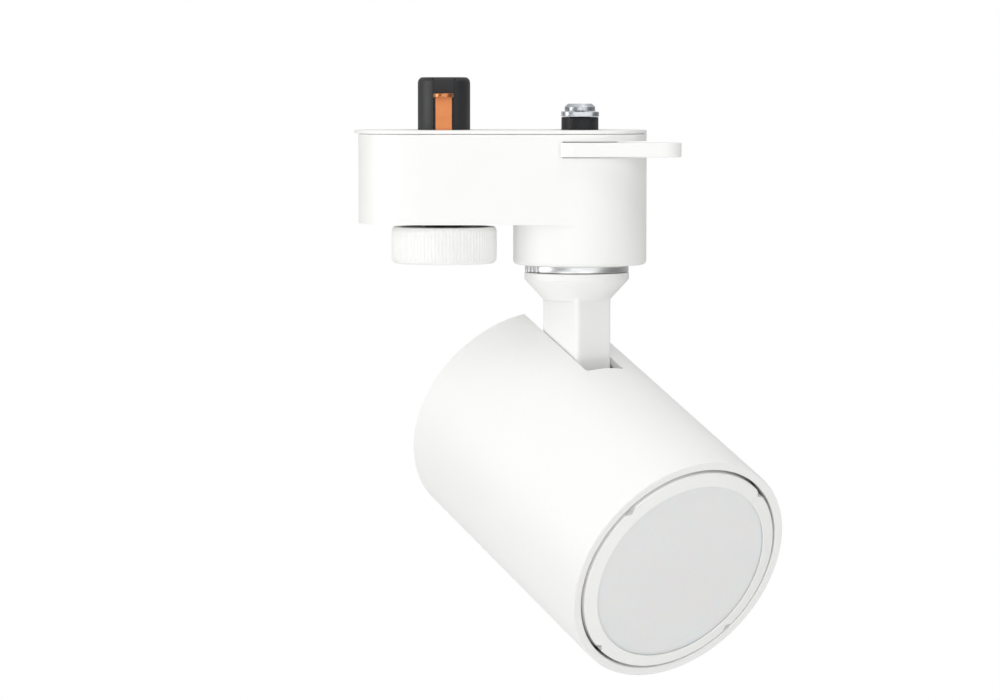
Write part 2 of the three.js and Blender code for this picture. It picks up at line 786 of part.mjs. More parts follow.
function lockPost() {
  const half = lockSquare / 2;
  const topHalf = plateSquare / 2;
  return cut(
    join(
      box([-half, -half, leverBottom], [half, half, leverTop + 0.4]),
      round(lockNose, clipBottom - 0.4, leverBottom + 0.2),
      round(lockNose + noseHead, clipBottom - 1.4, clipBottom - stackGap),
      round(lockCollar, leverTop + stackGap, shellTop + coverGap - stackGap, mediumSides),
      round(lockNeck, leverTop + 0.5, plateHeight - stackGap, mediumSides),
      box([-topHalf, -topHalf, plateHeight - 1], [topHalf, topHalf, plateHeight + plateThickness - 0.1]),
    ),
    round(plateScrew.shank + 0.2, -4, plateHeight + 5),
  );
}

// Its long ends sweep over the track's lips as the post turns.
function lockPlate() {
  const socket = plateSquare / 2 + stackGap;
  const outline = roundedRectangle(plateWidth / 2, plateLength / 2, 3);
  return cut(
    plate(outline, plateHeight, plateHeight + plateThickness),
    box([-socket, -socket, plateHeight - 1], [socket, socket, plateHeight + plateThickness + 1]),
  );
}

piece(lock, "lock_lever", lockLever(), whitePlastic);
piece(lock, "lock_post", lockPost(), blackPlastic);
piece(lock, "lock_plate", lockPlate(), plainSteel);
piece(lock, "lock_plate_screw", panScrew(plateScrew), plainSteel)
  .position.z = plateHeight + plateThickness + stackGap;
piece(
  lock,
  "lock_clip",
  cut(
    tube(lockNose + stackGap, clipRadius, clipBottom, clipTop),
    box([0, -clipOpening / 2, clipBottom - 1], [clipRadius + 1, clipOpening / 2, clipTop + 1]),
  ),
  plainSteel,
);

// ---- Swivel ----

const swivel = new THREE.Group();
swivel.position.x = swivelX;
swivel.rotation.z = headingTurn;
lamp.add(swivel);

// The bar's side view: full depth down to its foot, then drawn in to the eye round the tilt axis.
function barSide() {
  const eye = arc(-eyeOffset, pivotZ, eyeRadius, Math.PI, 1.8 * Math.PI, 14);
  const points = [
    new THREE.Vector2(-barDepth / 2, coneBottom + 3),
    new THREE.Vector2(-barDepth / 2, pivotZ + eyeRadius),
    ...eye,
    new THREE.Vector2(barDepth / 2, pivotZ + barFootRise),
    new THREE.Vector2(barDepth / 2, coneBottom + 3),
  ];
  return plate(points, -barThickness, barThickness).rotateX(quarterTurn);
}

function stem() {
  const flangeBottom = flangeTop - flangeHeight;
  const neck = flangeRadius - grooveDepth;
  const head = turned([
    [0, coneBottom],
    [coneFoot, coneBottom],
    [neck, flangeBottom - grooveHeight],
    [neck, flangeBottom],
    [flangeRadius - 0.2, flangeBottom],
    [flangeRadius, flangeBottom + 0.3],
    [flangeRadius, flangeTop - 0.3],
    [flangeRadius - 0.3, flangeTop],
    [0, flangeTop],
  ], largeSides);
  const column = plate(
    roundedRectangle(barDepth / 2, barThickness / 2, barCorner),
    pivotZ - eyeRadius - 1,
    flangeBottom - grooveHeight - 1,
  );
  const passageFloor = pivotZ + pinRadius + 0.8;
  return cut(
    join(head, common(column, barSide())),
    round(nippleRadius + boltGap, flangeTop - nippleDepth - 0.3, flangeTop + 1, mediumSides),
    round(wirePassage, passageFloor, flangeTop),
    box([0, -wireExit / 2, passageFloor], [barDepth, wireExit / 2, passageFloor + 3]),
    across(round(pinRadius + boltGap, -barThickness, barThickness)).translate(-eyeOffset, 0, pivotZ),
  );
}

function stopWasher() {
  const high = stopLow + stopThickness;
  return cut(
    join(
      round(stopRadius, stopLow, high, mediumSides),
      box([0, -stopTab / 2, stopLow], [cavityRadius - swivelOffset - 0.5, stopTab / 2, high]),
    ),
    round(nippleRadius + boltGap, stopLow - 1, high + 1, mediumSides),
  );
}

function springWasher() {
  const inner = nippleRadius + looseGap;
  return turned([
    [inner, springLow + springRise],
    [springRadius, springLow],
    [springRadius, springLow + springThickness],
    [inner, springLow + springRise + springThickness],
  ]);
}

piece(swivel, "stem", stem(), whiteEnamel);
piece(
  swivel,
  "swivel_nipple",
  tube(nippleBore, nippleRadius, flangeTop - nippleDepth, -drumDepth + nippleTop, mediumSides),
  brass,
);
piece(swivel, "swivel_stop_washer", stopWasher(), plainSteel);
piece(swivel, "swivel_spring_washer", springWasher(), plainSteel);
piece(
  swivel,
  "swivel_nut",
  cut(
    plate(polygon(nutAcross, 6), nutLow, nutLow + nutHeight),
    round(nippleRadius + boltGap, nutLow - 1, nutLow + nutHeight + 1, mediumSides),
  ),
  brass,
);

// ---- Head: its frame has the tilt axis along Y through the origin, and +X runs forward ----

const head = new THREE.Group();
head.position.set(-eyeOffset, 0, pivotZ);
head.rotation.y = tiltTurn;
swivel.add(head);

// The can's own frame, level with the can's axis.
const canFrame = new THREE.Group();
canFrame.position.z = -pivotHeight;
head.add(canFrame);

function can() {
  const wall = laid(turned([
    [canBore, -rearReach],
    [canRadius - canEdge, -rearReach],
    [canRadius, -rearReach + canEdge],
    [canRadius, frontReach - canEdge],
    [canRadius - canEdge, frontReach],
    [canBore, frontReach],
  ], largeSides));
  const half = slotWidth / 2;
  const end = slotEnd - slotCorner;
  const slot = [
    new THREE.Vector2(-rearReach - 1, -half),
    ...arc(end, slotCorner - half, slotCorner, -quarterTurn, 0, 4),
    ...arc(end, half - slotCorner, slotCorner, 0, quarterTurn, 4),
    new THREE.Vector2(-rearReach - 1, half),
  ];
  return cut(wall, plate(slot, canBore / 2, canRadius + 1));
}

const tiePlaces = [-tieSpread, tieSpread];

function rearCover() {
  const back = -rearReach + rearCoverInset;
  const front = back + rearCoverThickness;
  const radius = canBore - looseGap;
  const notch = slotWidth / 2 + 0.2;
  const notchLow = pivotHeight - barRear - notchGap;
  const holes = tiePlaces.flatMap((y) => [
    laid(round(tieRadius + boltGap, back - 1, front + 1)).translate(0, y, -tieDrop),
    laid(round(tieHead + looseGap, back - 1, back + tieHeadHeight + 0.2)).translate(0, y, -tieDrop),
  ]);
  return cut(
    laid(round(radius, back, front, largeSides)),
    box([back - 1, -notch, notchLow], [front + 1, notch, canRadius]),
    ...holes,
  );
}

// A channel: two cheeks that hold the pivot, on a base that is screwed to the heat sink.
function pivotBracket() {
  const top = Math.min(pivotHeight + bracketRise, Math.sqrt((canBore - 1) ** 2 - cheekOuter ** 2));
  const low = pivotHeight - bracketDrop;
  const cheekOutline = [
    new THREE.Vector2(bracketFront, top),
    ...arc(0, pivotHeight, cheekRadius, quarterTurn, 1.6 * Math.PI, 14),
    new THREE.Vector2(bracketFront, low),
  ];
  const cheeks = [-cheekOuter, cheekInner].map((y) =>
    plate(cheekOutline, 0, cheekThickness).rotateX(quarterTurn).translate(0, y + cheekThickness, 0));
  const holes = bracketScrewHeights.map((z) =>
    laid(round(bracketScrew.shank + 0.4, bracketBack - 1, bracketFront + 1)).translate(0, 0, z));
  return cut(
    join(box([bracketBack, -cheekOuter, low], [bracketFront, cheekOuter, top]), ...cheeks),
    across(round(pinRadius + boltGap, -canRadius, canRadius)).translate(0, 0, pivotHeight),
    ...holes,
  );
}

// Two round plates with a hub and radial fins between them.
function heatSink() {
  const radius = canBore - 0.45;
  const finTip = radius - 0.3;
  const fins = Array.from({ length: finCount }, (_, i) =>
    box([sinkFinsBack - 0.5, -finThickness / 2, finHub - 2], [sinkFinsFront + 0.5, finThickness / 2, finTip])
      .rotateX((2 * Math.PI * (i + 0.5)) / finCount));
  const tieHoles = tiePlaces.map((y) =>
    laid(round(tieRadius + boltGap, sinkBack - 1, sinkFinsBack + screwBite + 0.7)).translate(0, y, -tieDrop));
  const bracketHoles = bracketScrewHeights.map((z) =>
    laid(round(bracketScrew.shank + boltGap, sinkBack - 1, sinkFinsBack + screwBite + 0.7))
      .translate(0, 0, z));
  const holderHoles = [-1, 1].map((side) =>
    laid(round(holderScrew.shank + boltGap, sinkFinsFront - 2, sinkFront + 1))
      .translate(0, (side * holderScrewSpread) / 2, 0));
  return cut(
    join(
      laid(round(radius, sinkBack, sinkFinsBack, mediumSides)),
      laid(round(finHub, sinkFinsBack - 0.5, sinkFinsFront + 0.5, mediumSides)),
      laid(round(radius, sinkFinsFront, sinkFront, mediumSides)),
      ...fins,
    ),
    laid(round(leadHole, sinkBack - 1, sinkFront + 1)).translate(0, 0, -ledLeadDrop),
    ...tieHoles,
    ...bracketHoles,
    ...holderHoles,
  );
}

function ledHolder() {
  const lipHeight = emitterBack + emitterThickness + 0.3;
  const opening = emitterRadius + 2;
  const pocket = ledBoardSide / 2 + 0.3;
  const holes = [-1, 1].map((side) =>
    laid(round(holderScrew.shank + 0.2, holderBack - 1, holderFront + 1))
      .translate(0, (side * holderScrewSpread) / 2, 0));
  return cut(
    laid(tube(opening, holderRadius, holderBack, holderFront, mediumSides)),
    box([holderBack - 1, -pocket, -pocket], [lipHeight, pocket, pocket]),
    box([holderBack - 1, -leadHole, -ledLeadDrop - leadHole], [lipHeight, leadHole, 0]),
    ...holes,
  );
}

// A bowl whose radius grows with the square root of its height, so light from the emitter leaves it forward.
function reflector() {
  const steps = 5;
  const throat = emitterRadius + 1.2;
  const length = reflectorFront - reflectorBack;
  const spread = reflectorMouth - reflectorWall - throat;
  const inside = Array.from({ length: steps + 1 }, (_, i) => {
    const share = i / steps;
    return [throat + spread * Math.sqrt(share), reflectorBack + length * share];
  });
  const outside = inside.map(([radius, x]) => [radius + reflectorWall, x]).reverse();
  return laid(turned([...inside, ...outside]));
}

// An open tray with two rails that carry the driver board.
function driverTray() {
  const half = trayWidth / 2;
  const inner = half - trayWall;
  const low = -trayDrop;
  const railTop = low + trayWall + railHeight;
  const above = low + trayHeight + 2;
  return join(
    cut(
      box([trayBack, -half, low], [trayFront, half, low + trayHeight]),
      box([trayBack + trayWall, -inner, low + trayWall], [trayFront - trayWall, inner, above]),
      box([trayFront - trayWall - 1, -4, railTop], [trayFront + 1, 4, above]),
    ),
    box([trayBack + 0.5, -half + 0.5, low + 0.5], [trayFront - 0.5, -half + trayWall + 2, railTop]),
    box([trayBack + 0.5, half - trayWall - 2, low + 0.5], [trayFront - 0.5, half - 0.5, railTop]),
  );
}

const driverBoardLow = -trayDrop + trayWall + railHeight + stackGap;
const driverBoardTop = driverBoardLow + boardThickness;
const partsLow = driverBoardTop + stackGap;
const boardHalf = trayWidth / 2 - trayWall - 0.3;

piece(canFrame, "can", can(), whiteEnamel);
piece(canFrame, "rear_cover", rearCover(), whiteEnamel);
tiePlaces.forEach((y, i) => {
  const seat = -rearReach + rearCoverInset + tieHeadHeight;
  const length = sinkFinsBack + screwBite - seat;
  const shape = panScrew({ head: tieHead, height: tieHeadHeight - 0.2, shank: tieRadius, length });
  const screw = piece(canFrame, "tie_screw_" + (i + 1), shape, plainSteel);
  screw.rotation.y = -quarterTurn;
  screw.position.set(seat, y, -tieDrop);
});

// ---- Pivot ----

piece(canFrame, "pivot_bracket", pivotBracket(), plainSteel);
bracketScrewHeights.forEach((z, i) => {
  const length = sinkFinsBack + screwBite - bracketBack;
  const shape = panScrew({ ...bracketScrew, length });
  const screw = piece(canFrame, "bracket_screw_" + (i + 1), shape, plainSteel);
  screw.rotation.y = -quarterTurn;
  screw.position.set(bracketBack - stackGap, 0, z);
});

function pivotBolt() {
  const seat = -cheekOuter - stackGap;
  const end = cheekOuter + stackGap + pivotNutHeight + 1;
  return cut(
    join(
      round(pinRadius, seat - 0.5, end),
      turned([
        [0, seat - pivotHeadHeight],
        [pivotHeadRadius - 0.5, seat - pivotHeadHeight],
        [pivotHeadRadius, seat - pivotHeadHeight + 0.5],
        [pivotHeadRadius, seat],
        [0, seat],
      ], smallSides),
    ),
    plate(polygon(3, 6), seat - pivotHeadHeight - 1, seat - pivotHeadHeight + 1.3),
  );
}

piece(head, "pivot_bolt", pivotBolt(), plainSteel).rotation.x = -quarterTurn;
const nutSeat = cheekOuter + stackGap;
piece(
  head,
  "pivot_nut",
  cut(
    plate(polygon(pivotNutAcross, 6), nutSeat, nutSeat + pivotNutHeight),
    round(pinRadius + boltGap, nutSeat - 1, nutSeat + pivotNutHeight + 1),
  ),
  plainSteel,
).rotation.x = -quarterTurn;
[["left", -frictionInner - frictionThickness], ["right", frictionInner]].forEach(([side, low]) => {
  const washer = tube(pinRadius + boltGap, frictionRadius, low, low + frictionThickness, mediumSides);
  piece(head, "friction_washer_" + side, washer, greyPlastic).rotation.x = -quarterTurn;
});

// ---- Light engine ----

piece(canFrame, "heat_sink", heatSink(), castAluminium);
const ledHalf = ledBoardSide / 2;
piece(
  canFrame,
  "led_board",
  box([boardBack, -ledHalf, -ledHalf], [boardBack + ledBoardThickness, ledHalf, ledHalf]),
  castAluminium,
);
piece(
  canFrame,
  "led_emitter",
  laid(round(emitterRadius, emitterBack, emitterBack + emitterThickness, mediumSides)),
  phosphor,
);
piece(canFrame, "led_holder", ledHolder(), whitePlastic);
[-1, 1].forEach((side, i) => {
  const shape = panScrew({ ...holderScrew, length: holderHeight + 2 });
  const screw = piece(canFrame, "holder_screw_" + (i + 1), shape, plainSteel);
  screw.rotation.y = quarterTurn;
  screw.position.set(holderFront + stackGap, (side * holderScrewSpread) / 2, 0);
});
piece(canFrame, "reflector", reflector(), mirrorFinish);

// ---- Driver ----

piece(canFrame, "driver_tray", driverTray(), blackPlastic);
const boardBackEdge = trayBack + trayWall + 0.3;
const boardFrontEdge = trayFront - trayWall - 0.3;
piece(
  canFrame,
  "driver_board",
  box([boardBackEdge, -boardHalf, driverBoardLow], [boardFrontEdge, boardHalf, driverBoardTop]),
  circuitGreen,
);
const boardMiddle = (boardBackEdge + boardFrontEdge) / 2;
piece(
  canFrame,
  "transformer",
  box([boardMiddle - 5.5, -6, partsLow], [boardMiddle + 5.5, 6, partsLow + 9]),
  blackPlastic,
);
piece(canFrame, "capacitor", laid(round(3.8, boardMiddle - 6, boardMiddle + 6)), blackPlastic)
  .position.set(0, boardHalf - 4, partsLow + 4);
piece(canFrame, "choke", round(3.4, partsLow, partsLow + 7), blackPlastic)
  .position.set(boardFrontEdge - 5, -boardHalf + 4.5, 0);
piece(
  canFrame,
  "terminal_block",
  box([boardBackEdge + 0.5, -boardHalf + 1, partsLow], [boardBackEdge + 7, -boardHalf + 7.5, partsLow + 6]),
  greyPlastic,
);
[["plus", 1, redSheath], ["minus", -1, blueSheath]].forEach(([name, side, sheath]) => {
  const route = [
    [boardFrontEdge - 1.2, side * 2.4, partsLow + 1],
    [boardFrontEdge + 0.6, side * 1.8, partsLow + 1.6],
    [sinkBack - 1, side * 1.3, -ledLeadDrop],
    [(sinkBack + sinkFront) / 2, side * 1.3, -ledLeadDrop],
    [boardBack + 0.8, side * 1.3, -ledLeadDrop],
  ];
  piece(canFrame, "led_lead_" + name, wire(route, ledLeadRadius), sheath);
});

// ---- Front ring ----

// Fixed in the can: a flange with three gaps, which the ring's lugs pass and then turn behind.
function bayonetCollar() {
  const outer = canBore - looseGap;
  const inner = skirtRadius + looseGap;
  const wallInner = outer - collarWall;
  const flangeBack = collarFront - flangeThickness;
  const ring = turned([
    [wallInner, collarBack],
    [outer, collarBack],
    [outer, collarFront],
    [inner, collarFront],
    [inner, flangeBack],
    [wallInner, flangeBack],
  ], largeSides);
  const gaps = Array.from({ length: lugCount }, (_, i) => {
    const middle = bayonetTurn + (2 * Math.PI * i) / lugCount;
    const half = lugArc / 2 + degToRad(2);
    const outline = [
      ...arc(0, 0, wallInner - 0.02, middle - half, middle + half, 3),
      ...arc(0, 0, inner - 2, middle + half, middle - half, 3),
    ];
    return plate(outline, flangeBack - 1, collarFront + 1);
  });
  return laid(geometryOf(cut(ring, ...gaps)));
}

function frontRing() {
  const outer = frontRingRadius;
  const edge = 0.3;
  const lip = diffuserRadius - lipOverlap;
  const ring = turned([
    [seatRadius, skirtBack],
    [skirtRadius, skirtBack],
    [skirtRadius, shoulder],
    [outer, shoulder],
    [outer, frontReach + frontRingProud - edge],
    [outer - edge, frontReach + frontRingProud],
    [lip + 0.3, lipFront],
    [lip, lipFront - 0.1],
    [lip, lipFront - lipWall],
    [seatRadius, lipFront - lipWall],
  ], largeSides);
  const lugs = Array.from({ length: lugCount }, (_, i) => {
    const middle = (2 * Math.PI * i) / lugCount;
    const outline = [
      ...arc(0, 0, skirtRadius + lugHeight, middle - lugArc / 2, middle + lugArc / 2, 3),
      ...arc(0, 0, skirtRadius - 0.4, middle + lugArc / 2, middle - lugArc / 2, 3),
    ];
    return plate(outline, skirtBack, skirtBack + lugThickness);
  });
  const notches = Array.from({ length: 4 }, (_, i) => {
    const tip = outer - ringNotchDepth;
    const wide = outer + 1;
    const half = (ringNotchWidth / 2) * ((wide - tip) / ringNotchDepth);
    const outline = [[tip, 0], [wide, half], [wide, -half]].map(([x, y]) => new THREE.Vector2(x, y));
    const angle = (i + 0.5) * quarterTurn + ringNotchTurn;
    return plate(outline, frontReach + frontRingProud - ringNotchLength, lipFront + 1).rotateZ(angle);
  });
  return laid(geometryOf(cut(join(ring, ...lugs), ...notches)));
}

const ringFrame = new THREE.Group();
canFrame.add(ringFrame);

piece(canFrame, "bayonet_collar", bayonetCollar(), greyPlastic);
piece(ringFrame, "front_ring", frontRing(), whitePlastic);
piece(
  ringFrame,
  "diffuser",
  laid(round(diffuserRadius, diffuserBack, diffuserFront, largeSides)),
  frostedPlastic,
);

export default lamp;
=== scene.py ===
"""The looks of a track spotlight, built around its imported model.

Each new piece is worked out in millimetres in the axes of its own body, and becomes metres in its mesh.
"""

import json
import math

import bmesh
import bpy
import numpy as np
from mathutils.geometry import tessellate_polygon
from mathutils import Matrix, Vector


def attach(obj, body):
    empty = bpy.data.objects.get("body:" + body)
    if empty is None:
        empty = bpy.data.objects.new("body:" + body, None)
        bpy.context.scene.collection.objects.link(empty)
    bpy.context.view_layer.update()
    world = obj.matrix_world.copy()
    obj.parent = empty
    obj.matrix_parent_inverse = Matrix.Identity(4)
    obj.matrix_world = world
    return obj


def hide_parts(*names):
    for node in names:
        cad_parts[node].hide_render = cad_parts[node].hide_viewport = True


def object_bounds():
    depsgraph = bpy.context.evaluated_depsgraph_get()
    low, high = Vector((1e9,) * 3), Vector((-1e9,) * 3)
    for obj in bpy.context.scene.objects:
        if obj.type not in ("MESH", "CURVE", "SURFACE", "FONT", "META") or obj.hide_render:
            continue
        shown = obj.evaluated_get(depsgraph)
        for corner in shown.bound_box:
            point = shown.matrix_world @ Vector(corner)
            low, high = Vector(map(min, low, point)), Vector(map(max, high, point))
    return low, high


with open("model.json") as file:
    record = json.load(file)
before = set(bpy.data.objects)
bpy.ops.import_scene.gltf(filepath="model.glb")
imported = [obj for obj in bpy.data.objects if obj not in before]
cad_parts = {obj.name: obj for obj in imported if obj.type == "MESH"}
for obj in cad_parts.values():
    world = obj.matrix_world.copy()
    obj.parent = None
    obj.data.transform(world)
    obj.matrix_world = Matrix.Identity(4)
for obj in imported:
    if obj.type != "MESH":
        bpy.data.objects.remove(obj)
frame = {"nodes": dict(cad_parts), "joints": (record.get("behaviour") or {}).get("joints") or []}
cad_low, cad_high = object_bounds()

MM = 0.001
TAU = 2 * math.pi

# ---- Sizes in millimetres: the solid model's, unless a comment says otherwise ----

BODY_END = 35.75  # half the adapter's length
BODY_HALF = 16.55  # half its width, and the radius of its ends and its drum
BODY_DEPTH = 23.1
DRUM_DEPTH = 33.4
DRUM_EDGE = 1.2
DRUM_INNER_EDGE = 0.4
SHELL_WALL = 1.8
DRUM_FLOOR = 2.0
WALL_ROWS = (-11, -15, -19)  # rows of faces between the window and the floor
HOLE_GAP = 0.3  # all round a piece that turns in a hole
SHELL_TOP = -1.02  # just above the solid's, so that the seam under the cover is a fine line
COVER_THICKNESS = 0.9
COVER_LIP = 1.0
COVER_SCREW_INSET = 4.6
COVER_SCREW_SPREAD = 22
COVER_SCREW_HEAD = 2.3
COVER_SCREW_SHANK = 1.2
COVER_SCREW_LENGTH = 8
COVER_SCREW_GAP = 0.15  # round its head
COVER_SCREW_SUNK = 0.05  # its head below the cover's face

KNOB_RADIUS = 13.05
KNOB_TOP = -24.0
KNOB_BOTTOM = -33.1
KNOB_RIBS = 90
RIB_DEPTH = 0.25
KNOB_WALL = 1.9
KNOB_HUB = 7.6
KNOB_WELL = 5
KNOB_SEAT = 3.2  # radius of the seat for its screw
KNOB_SEAT_DEPTH = 1.8
KNOB_NECK = 4.8
POST_RADIUS = 6.5
POST_COLLAR = 7.2
POST_TOP = 13
POST_CROWN = 1.5  # height of the rounding at the post's top
POST_CROWN_INSET = 1.2
GROOVE_SIDE = 0.65  # the post's groove past each side of the blade
GROOVE_BACK = 0.25  # and behind it
BLADE_WIDTH = 4.0
BLADE_THICKNESS = 1.0
BLADE_REACH = 13.3
BLADE_HEIGHT = 8
BLADE_TAIL = 16

LEVER_TOP = -2.95
LEVER_BOTTOM = -6.55
LEVER_BAR = 9
LEVER_FRONT = -18.8
LEVER_REACH = 24.55
LEVER_BACK = 5.1
LEVER_ARM_BACK = 3.6
LEVER_HUB = 9.5
LEVER_SWING = math.radians(90)
SIGHT_GAP = 0.35  # between the lever and the body's outline
WINDOW_GAP = 0.2  # above and below the lever, closer than the solid's
LOCK_NECK = 4.6
PLATE_HEIGHT = 3.3
PLATE_THICKNESS = 1.2
PLATE_LENGTH = 24
PLATE_WIDTH = 9
PLATE_CORNER = 3
PLATE_SOCKET = 2.65  # half the width of its square hole

RING_RADIUS = 12.9
RING_TOP = -33.5
RING_THICKNESS = 1.6
TOOTH_GAPS = 6
TOOTH_PITCH = math.radians(9)
TOOTH_ROW_TURN = math.radians(176)
TOOTH_GAP_WIDTH = 1.1
TOOTH_GAP_DEPTH = 0.8
NIPPLE_RADIUS = 5

FLANGE_TOP = -35.3
FLANGE_RADIUS = 13
FLANGE_HEIGHT = 1.9
SOCKET_DEPTH = 4  # the nipple's, in the flange and the cone
GROOVE_DEPTH = 0.45
GROOVE_HEIGHT = 0.3
CONE_HEIGHT = 4.7
CONE_FOOT = 8.2
BAR_THICKNESS = 10.6
BAR_DEPTH = 15.3
BAR_CORNER = 1.0
EYE_OFFSET = 3
EYE_RADIUS = 4.6
BAR_FOOT_RISE = 6.5

CAN_RADIUS = 29.82  # inside the flats of the solid, whose outline has corners at 30
CAN_BORE = 27.65
REAR_REACH = 19.17
FRONT_REACH = 58.33
PIVOT_HEIGHT = 16.13  # tilt axis above the can's axis
SLOT_WIDTH = 11.2
SLOT_CORNER = 0.9
SLOT_END = 10.95
REAR_COVER_THICKNESS = 2.5
REAR_COVER_INSET = 0.3  # in from the can's rear rim, and from its bore
TIE_SPREAD = 20
TIE_DROP = 8
TIE_HOLE = 3
TIE_SEAT = 1.8  # under the screw's head, in from the can's rear rim

RING_OUTER = 26.97
RING_PROUD = 0.25
RING_RISE = 0.9
LIP_WALL = 0.35
DIFFUSER_RADIUS = 24.2
DIFFUSER_THICKNESS = 2
DIFFUSER_CROWN = 0.12
LIP_OVERLAP = 0.6
NOTCH_WIDTH = 3.2
NOTCH_DEPTH = 1.1
NOTCH_LENGTH = 2.2
NOTCH_TURN = math.radians(3.5)
SEAT_RADIUS = 24.4
SKIRT_RADIUS = 25.35
SHOULDER = 3.6  # the front ring's full width, back from the rim
SKIRT_BACK = 7.0  # the skirt's end, back from the rim
LUG_COUNT = 3
LUG_ARC = math.radians(18)
LUG_HEIGHT = 1.3
LUG_THICKNESS = 1.2

COVER_TOP = 0.0
BODY_FLOOR_TOP = -BODY_DEPTH + SHELL_WALL
DRUM_FLOOR_TOP = -DRUM_DEPTH + DRUM_FLOOR
CONE_TOP = FLANGE_TOP - FLANGE_HEIGHT - GROOVE_HEIGHT
CONE_BOTTOM = CONE_TOP - CONE_HEIGHT
LIP_FRONT = FRONT_REACH + RING_RISE

# ---- Camera ----

CAMERA_PLACE = (-0.000619, -0.958771, 0.010749)
CAMERA_PITCH = math.radians(3.9087)
CAMERA_LENS = 138.948


def make_camera():
    data = bpy.data.cameras.new("camera")
    data.lens = CAMERA_LENS
    data.sensor_width = 36
    camera = bpy.data.objects.new("camera", data)
    camera.location = CAMERA_PLACE
    camera.rotation_euler = (math.pi / 2 - CAMERA_PITCH, 0, 0)
    bpy.context.scene.collection.objects.link(camera)
    bpy.context.scene.camera = camera


make_camera()

# ---- Axes of each body, from the joints ----

joints = {joint["name"]: joint for joint in frame["joints"]}


def unit(vector):
    vector = np.asarray(vector, float)
    return vector / np.linalg.norm(vector)


def axes_at(joint_name, x_axis, y_axis):
    """Origin in millimetres and the three axes as rows, with Z square to X and Y."""
    origin = np.array(joints[joint_name]["pos_m"]) / MM
    x_axis, y_axis = unit(x_axis), unit(y_axis)
    return origin, np.array([x_axis, y_axis, np.cross(x_axis, y_axis)])


TILT_AXIS = unit(joints["head_tilt"]["axis"])
CAN_AXIS = unit(joints["ring_twist"]["axis"])
ADAPTER = np.zeros(3), np.eye(3)
ROTOR = axes_at("contact_turn", (1, 0, 0), (0, 1, 0))
LOCK = axes_at("lock_turn", (1, 0, 0), (0, 1, 0))
SWIVEL = axes_at("swivel_turn", np.cross(TILT_AXIS, (0, 0, 1)), TILT_AXIS)
CAN = axes_at("ring_twist", CAN_AXIS, TILT_AXIS)
CONTACT_X, LOCK_X, SWIVEL_X = ROTOR[0][0], LOCK[0][0], SWIVEL[0][0]
PIVOT_Z = joints["head_tilt"]["pos_m"][2] / MM

# ---- Outlines: closed loops of points in a plane, left side inwards ----


def arc(x, y, radius, start, end, steps):
    """Points on an arc about (x, y), both ends included."""
    angle = np.linspace(start, end, steps + 1)
    return np.column_stack([x + radius * np.cos(angle), y + radius * np.sin(angle)])


def circle(radius, sides, x=0.0, y=0.0):
    angle = np.arange(sides) * TAU / sides
    return np.column_stack([x + radius * np.cos(angle), y + radius * np.sin(angle)])


def stadium(left, right, half, steps=48):
    """A long outline with half-round ends."""
    quarter = math.pi / 2
    return np.vstack([
        arc(right - half, 0, half, -quarter, quarter, steps),
        arc(left + half, 0, half, quarter, 3 * quarter, steps),
    ])


def eased(corners, radii, steps=5, closed=True):
    """The line through the corners with each corner turned into an arc of its own radius.

    The arc touches both sides at radius / tan(half the angle between them).
    """
    corners = np.asarray(corners, float)
    radii = np.broadcast_to(radii, len(corners))
    out = []
    for i, (corner, radius) in enumerate(zip(corners, radii)):
        open_end = not closed and i in (0, len(corners) - 1)
        if radius == 0 or open_end:
            out.append(corner[None])
            continue
        before, after = corners[i - 1] - corner, corners[(i + 1) % len(corners)] - corner
        a, b = unit(before), unit(after)
        half = math.acos(np.clip(a @ b, -1, 1)) / 2
        touch = radius / math.tan(half)
        centre = corner + unit(a + b) * radius / math.sin(half)
        start, end = corner + a * touch - centre, corner + b * touch - centre
        turn = math.pi - 2 * half
        share = np.linspace(0, 1, steps + 1)[:, None]
        along = np.sin((1 - share) * turn) * start + np.sin(share * turn) * end
        out.append(centre + along / math.sin(turn))
    return np.vstack(out)


def inset(loop, distance):
    """The loop moved to its left by a distance, mitred at each corner."""
    ahead = np.roll(loop, -1, 0) - loop
    ahead /= np.linalg.norm(ahead, axis=1)[:, None]
    behind = np.roll(ahead, 1, 0)
    left_ahead = np.column_stack([-ahead[:, 1], ahead[:, 0]])
    left_behind = np.column_stack([-behind[:, 1], behind[:, 0]])
    mitre = (left_ahead + left_behind) / (1 + (left_ahead * left_behind).sum(1))[:, None]
    return loop + mitre * distance


def cross_outline(arm, slot):
    """The outline of a cross recess with arms of half width slot."""
    return np.array([
        [arm, -slot], [arm, slot], [slot, slot], [slot, arm], [-slot, arm], [-slot, slot],
        [-arm, slot], [-arm, -slot], [-slot, -slot], [-slot, -arm], [slot, -arm], [slot, -slot],
    ])


# ---- Ways to lay a flat outline or a profile in a body's axes ----


def upright(flat, height):
    """Flat points (x, y) at a height along Z."""
    return np.column_stack([flat, np.broadcast_to(height, len(flat))])


def facing_x(flat, x):
    """Flat points (y, z) at a distance along X."""
    return np.column_stack([np.broadcast_to(x, len(flat)), flat])


def turned(profile, sides):
    """Rows of a profile of (radius, height) turned about Z: x = r cos a, y = r sin a, z = height."""
    profile = np.asarray(profile, float)
    angle = np.arange(sides) * TAU / sides
    radius = profile[:, 0:1]
    height = np.broadcast_to(profile[:, 1:2], (len(profile), sides))
    return np.stack([radius * np.cos(angle), radius * np.sin(angle), height], axis=2)


def laid(points):
    """Points about Z laid down to run along X: (x, y, z) becomes (z, y, -x)."""
    return np.stack([points[..., 2], points[..., 1], -points[..., 0]], axis=-1)


# ---- Surfaces ----


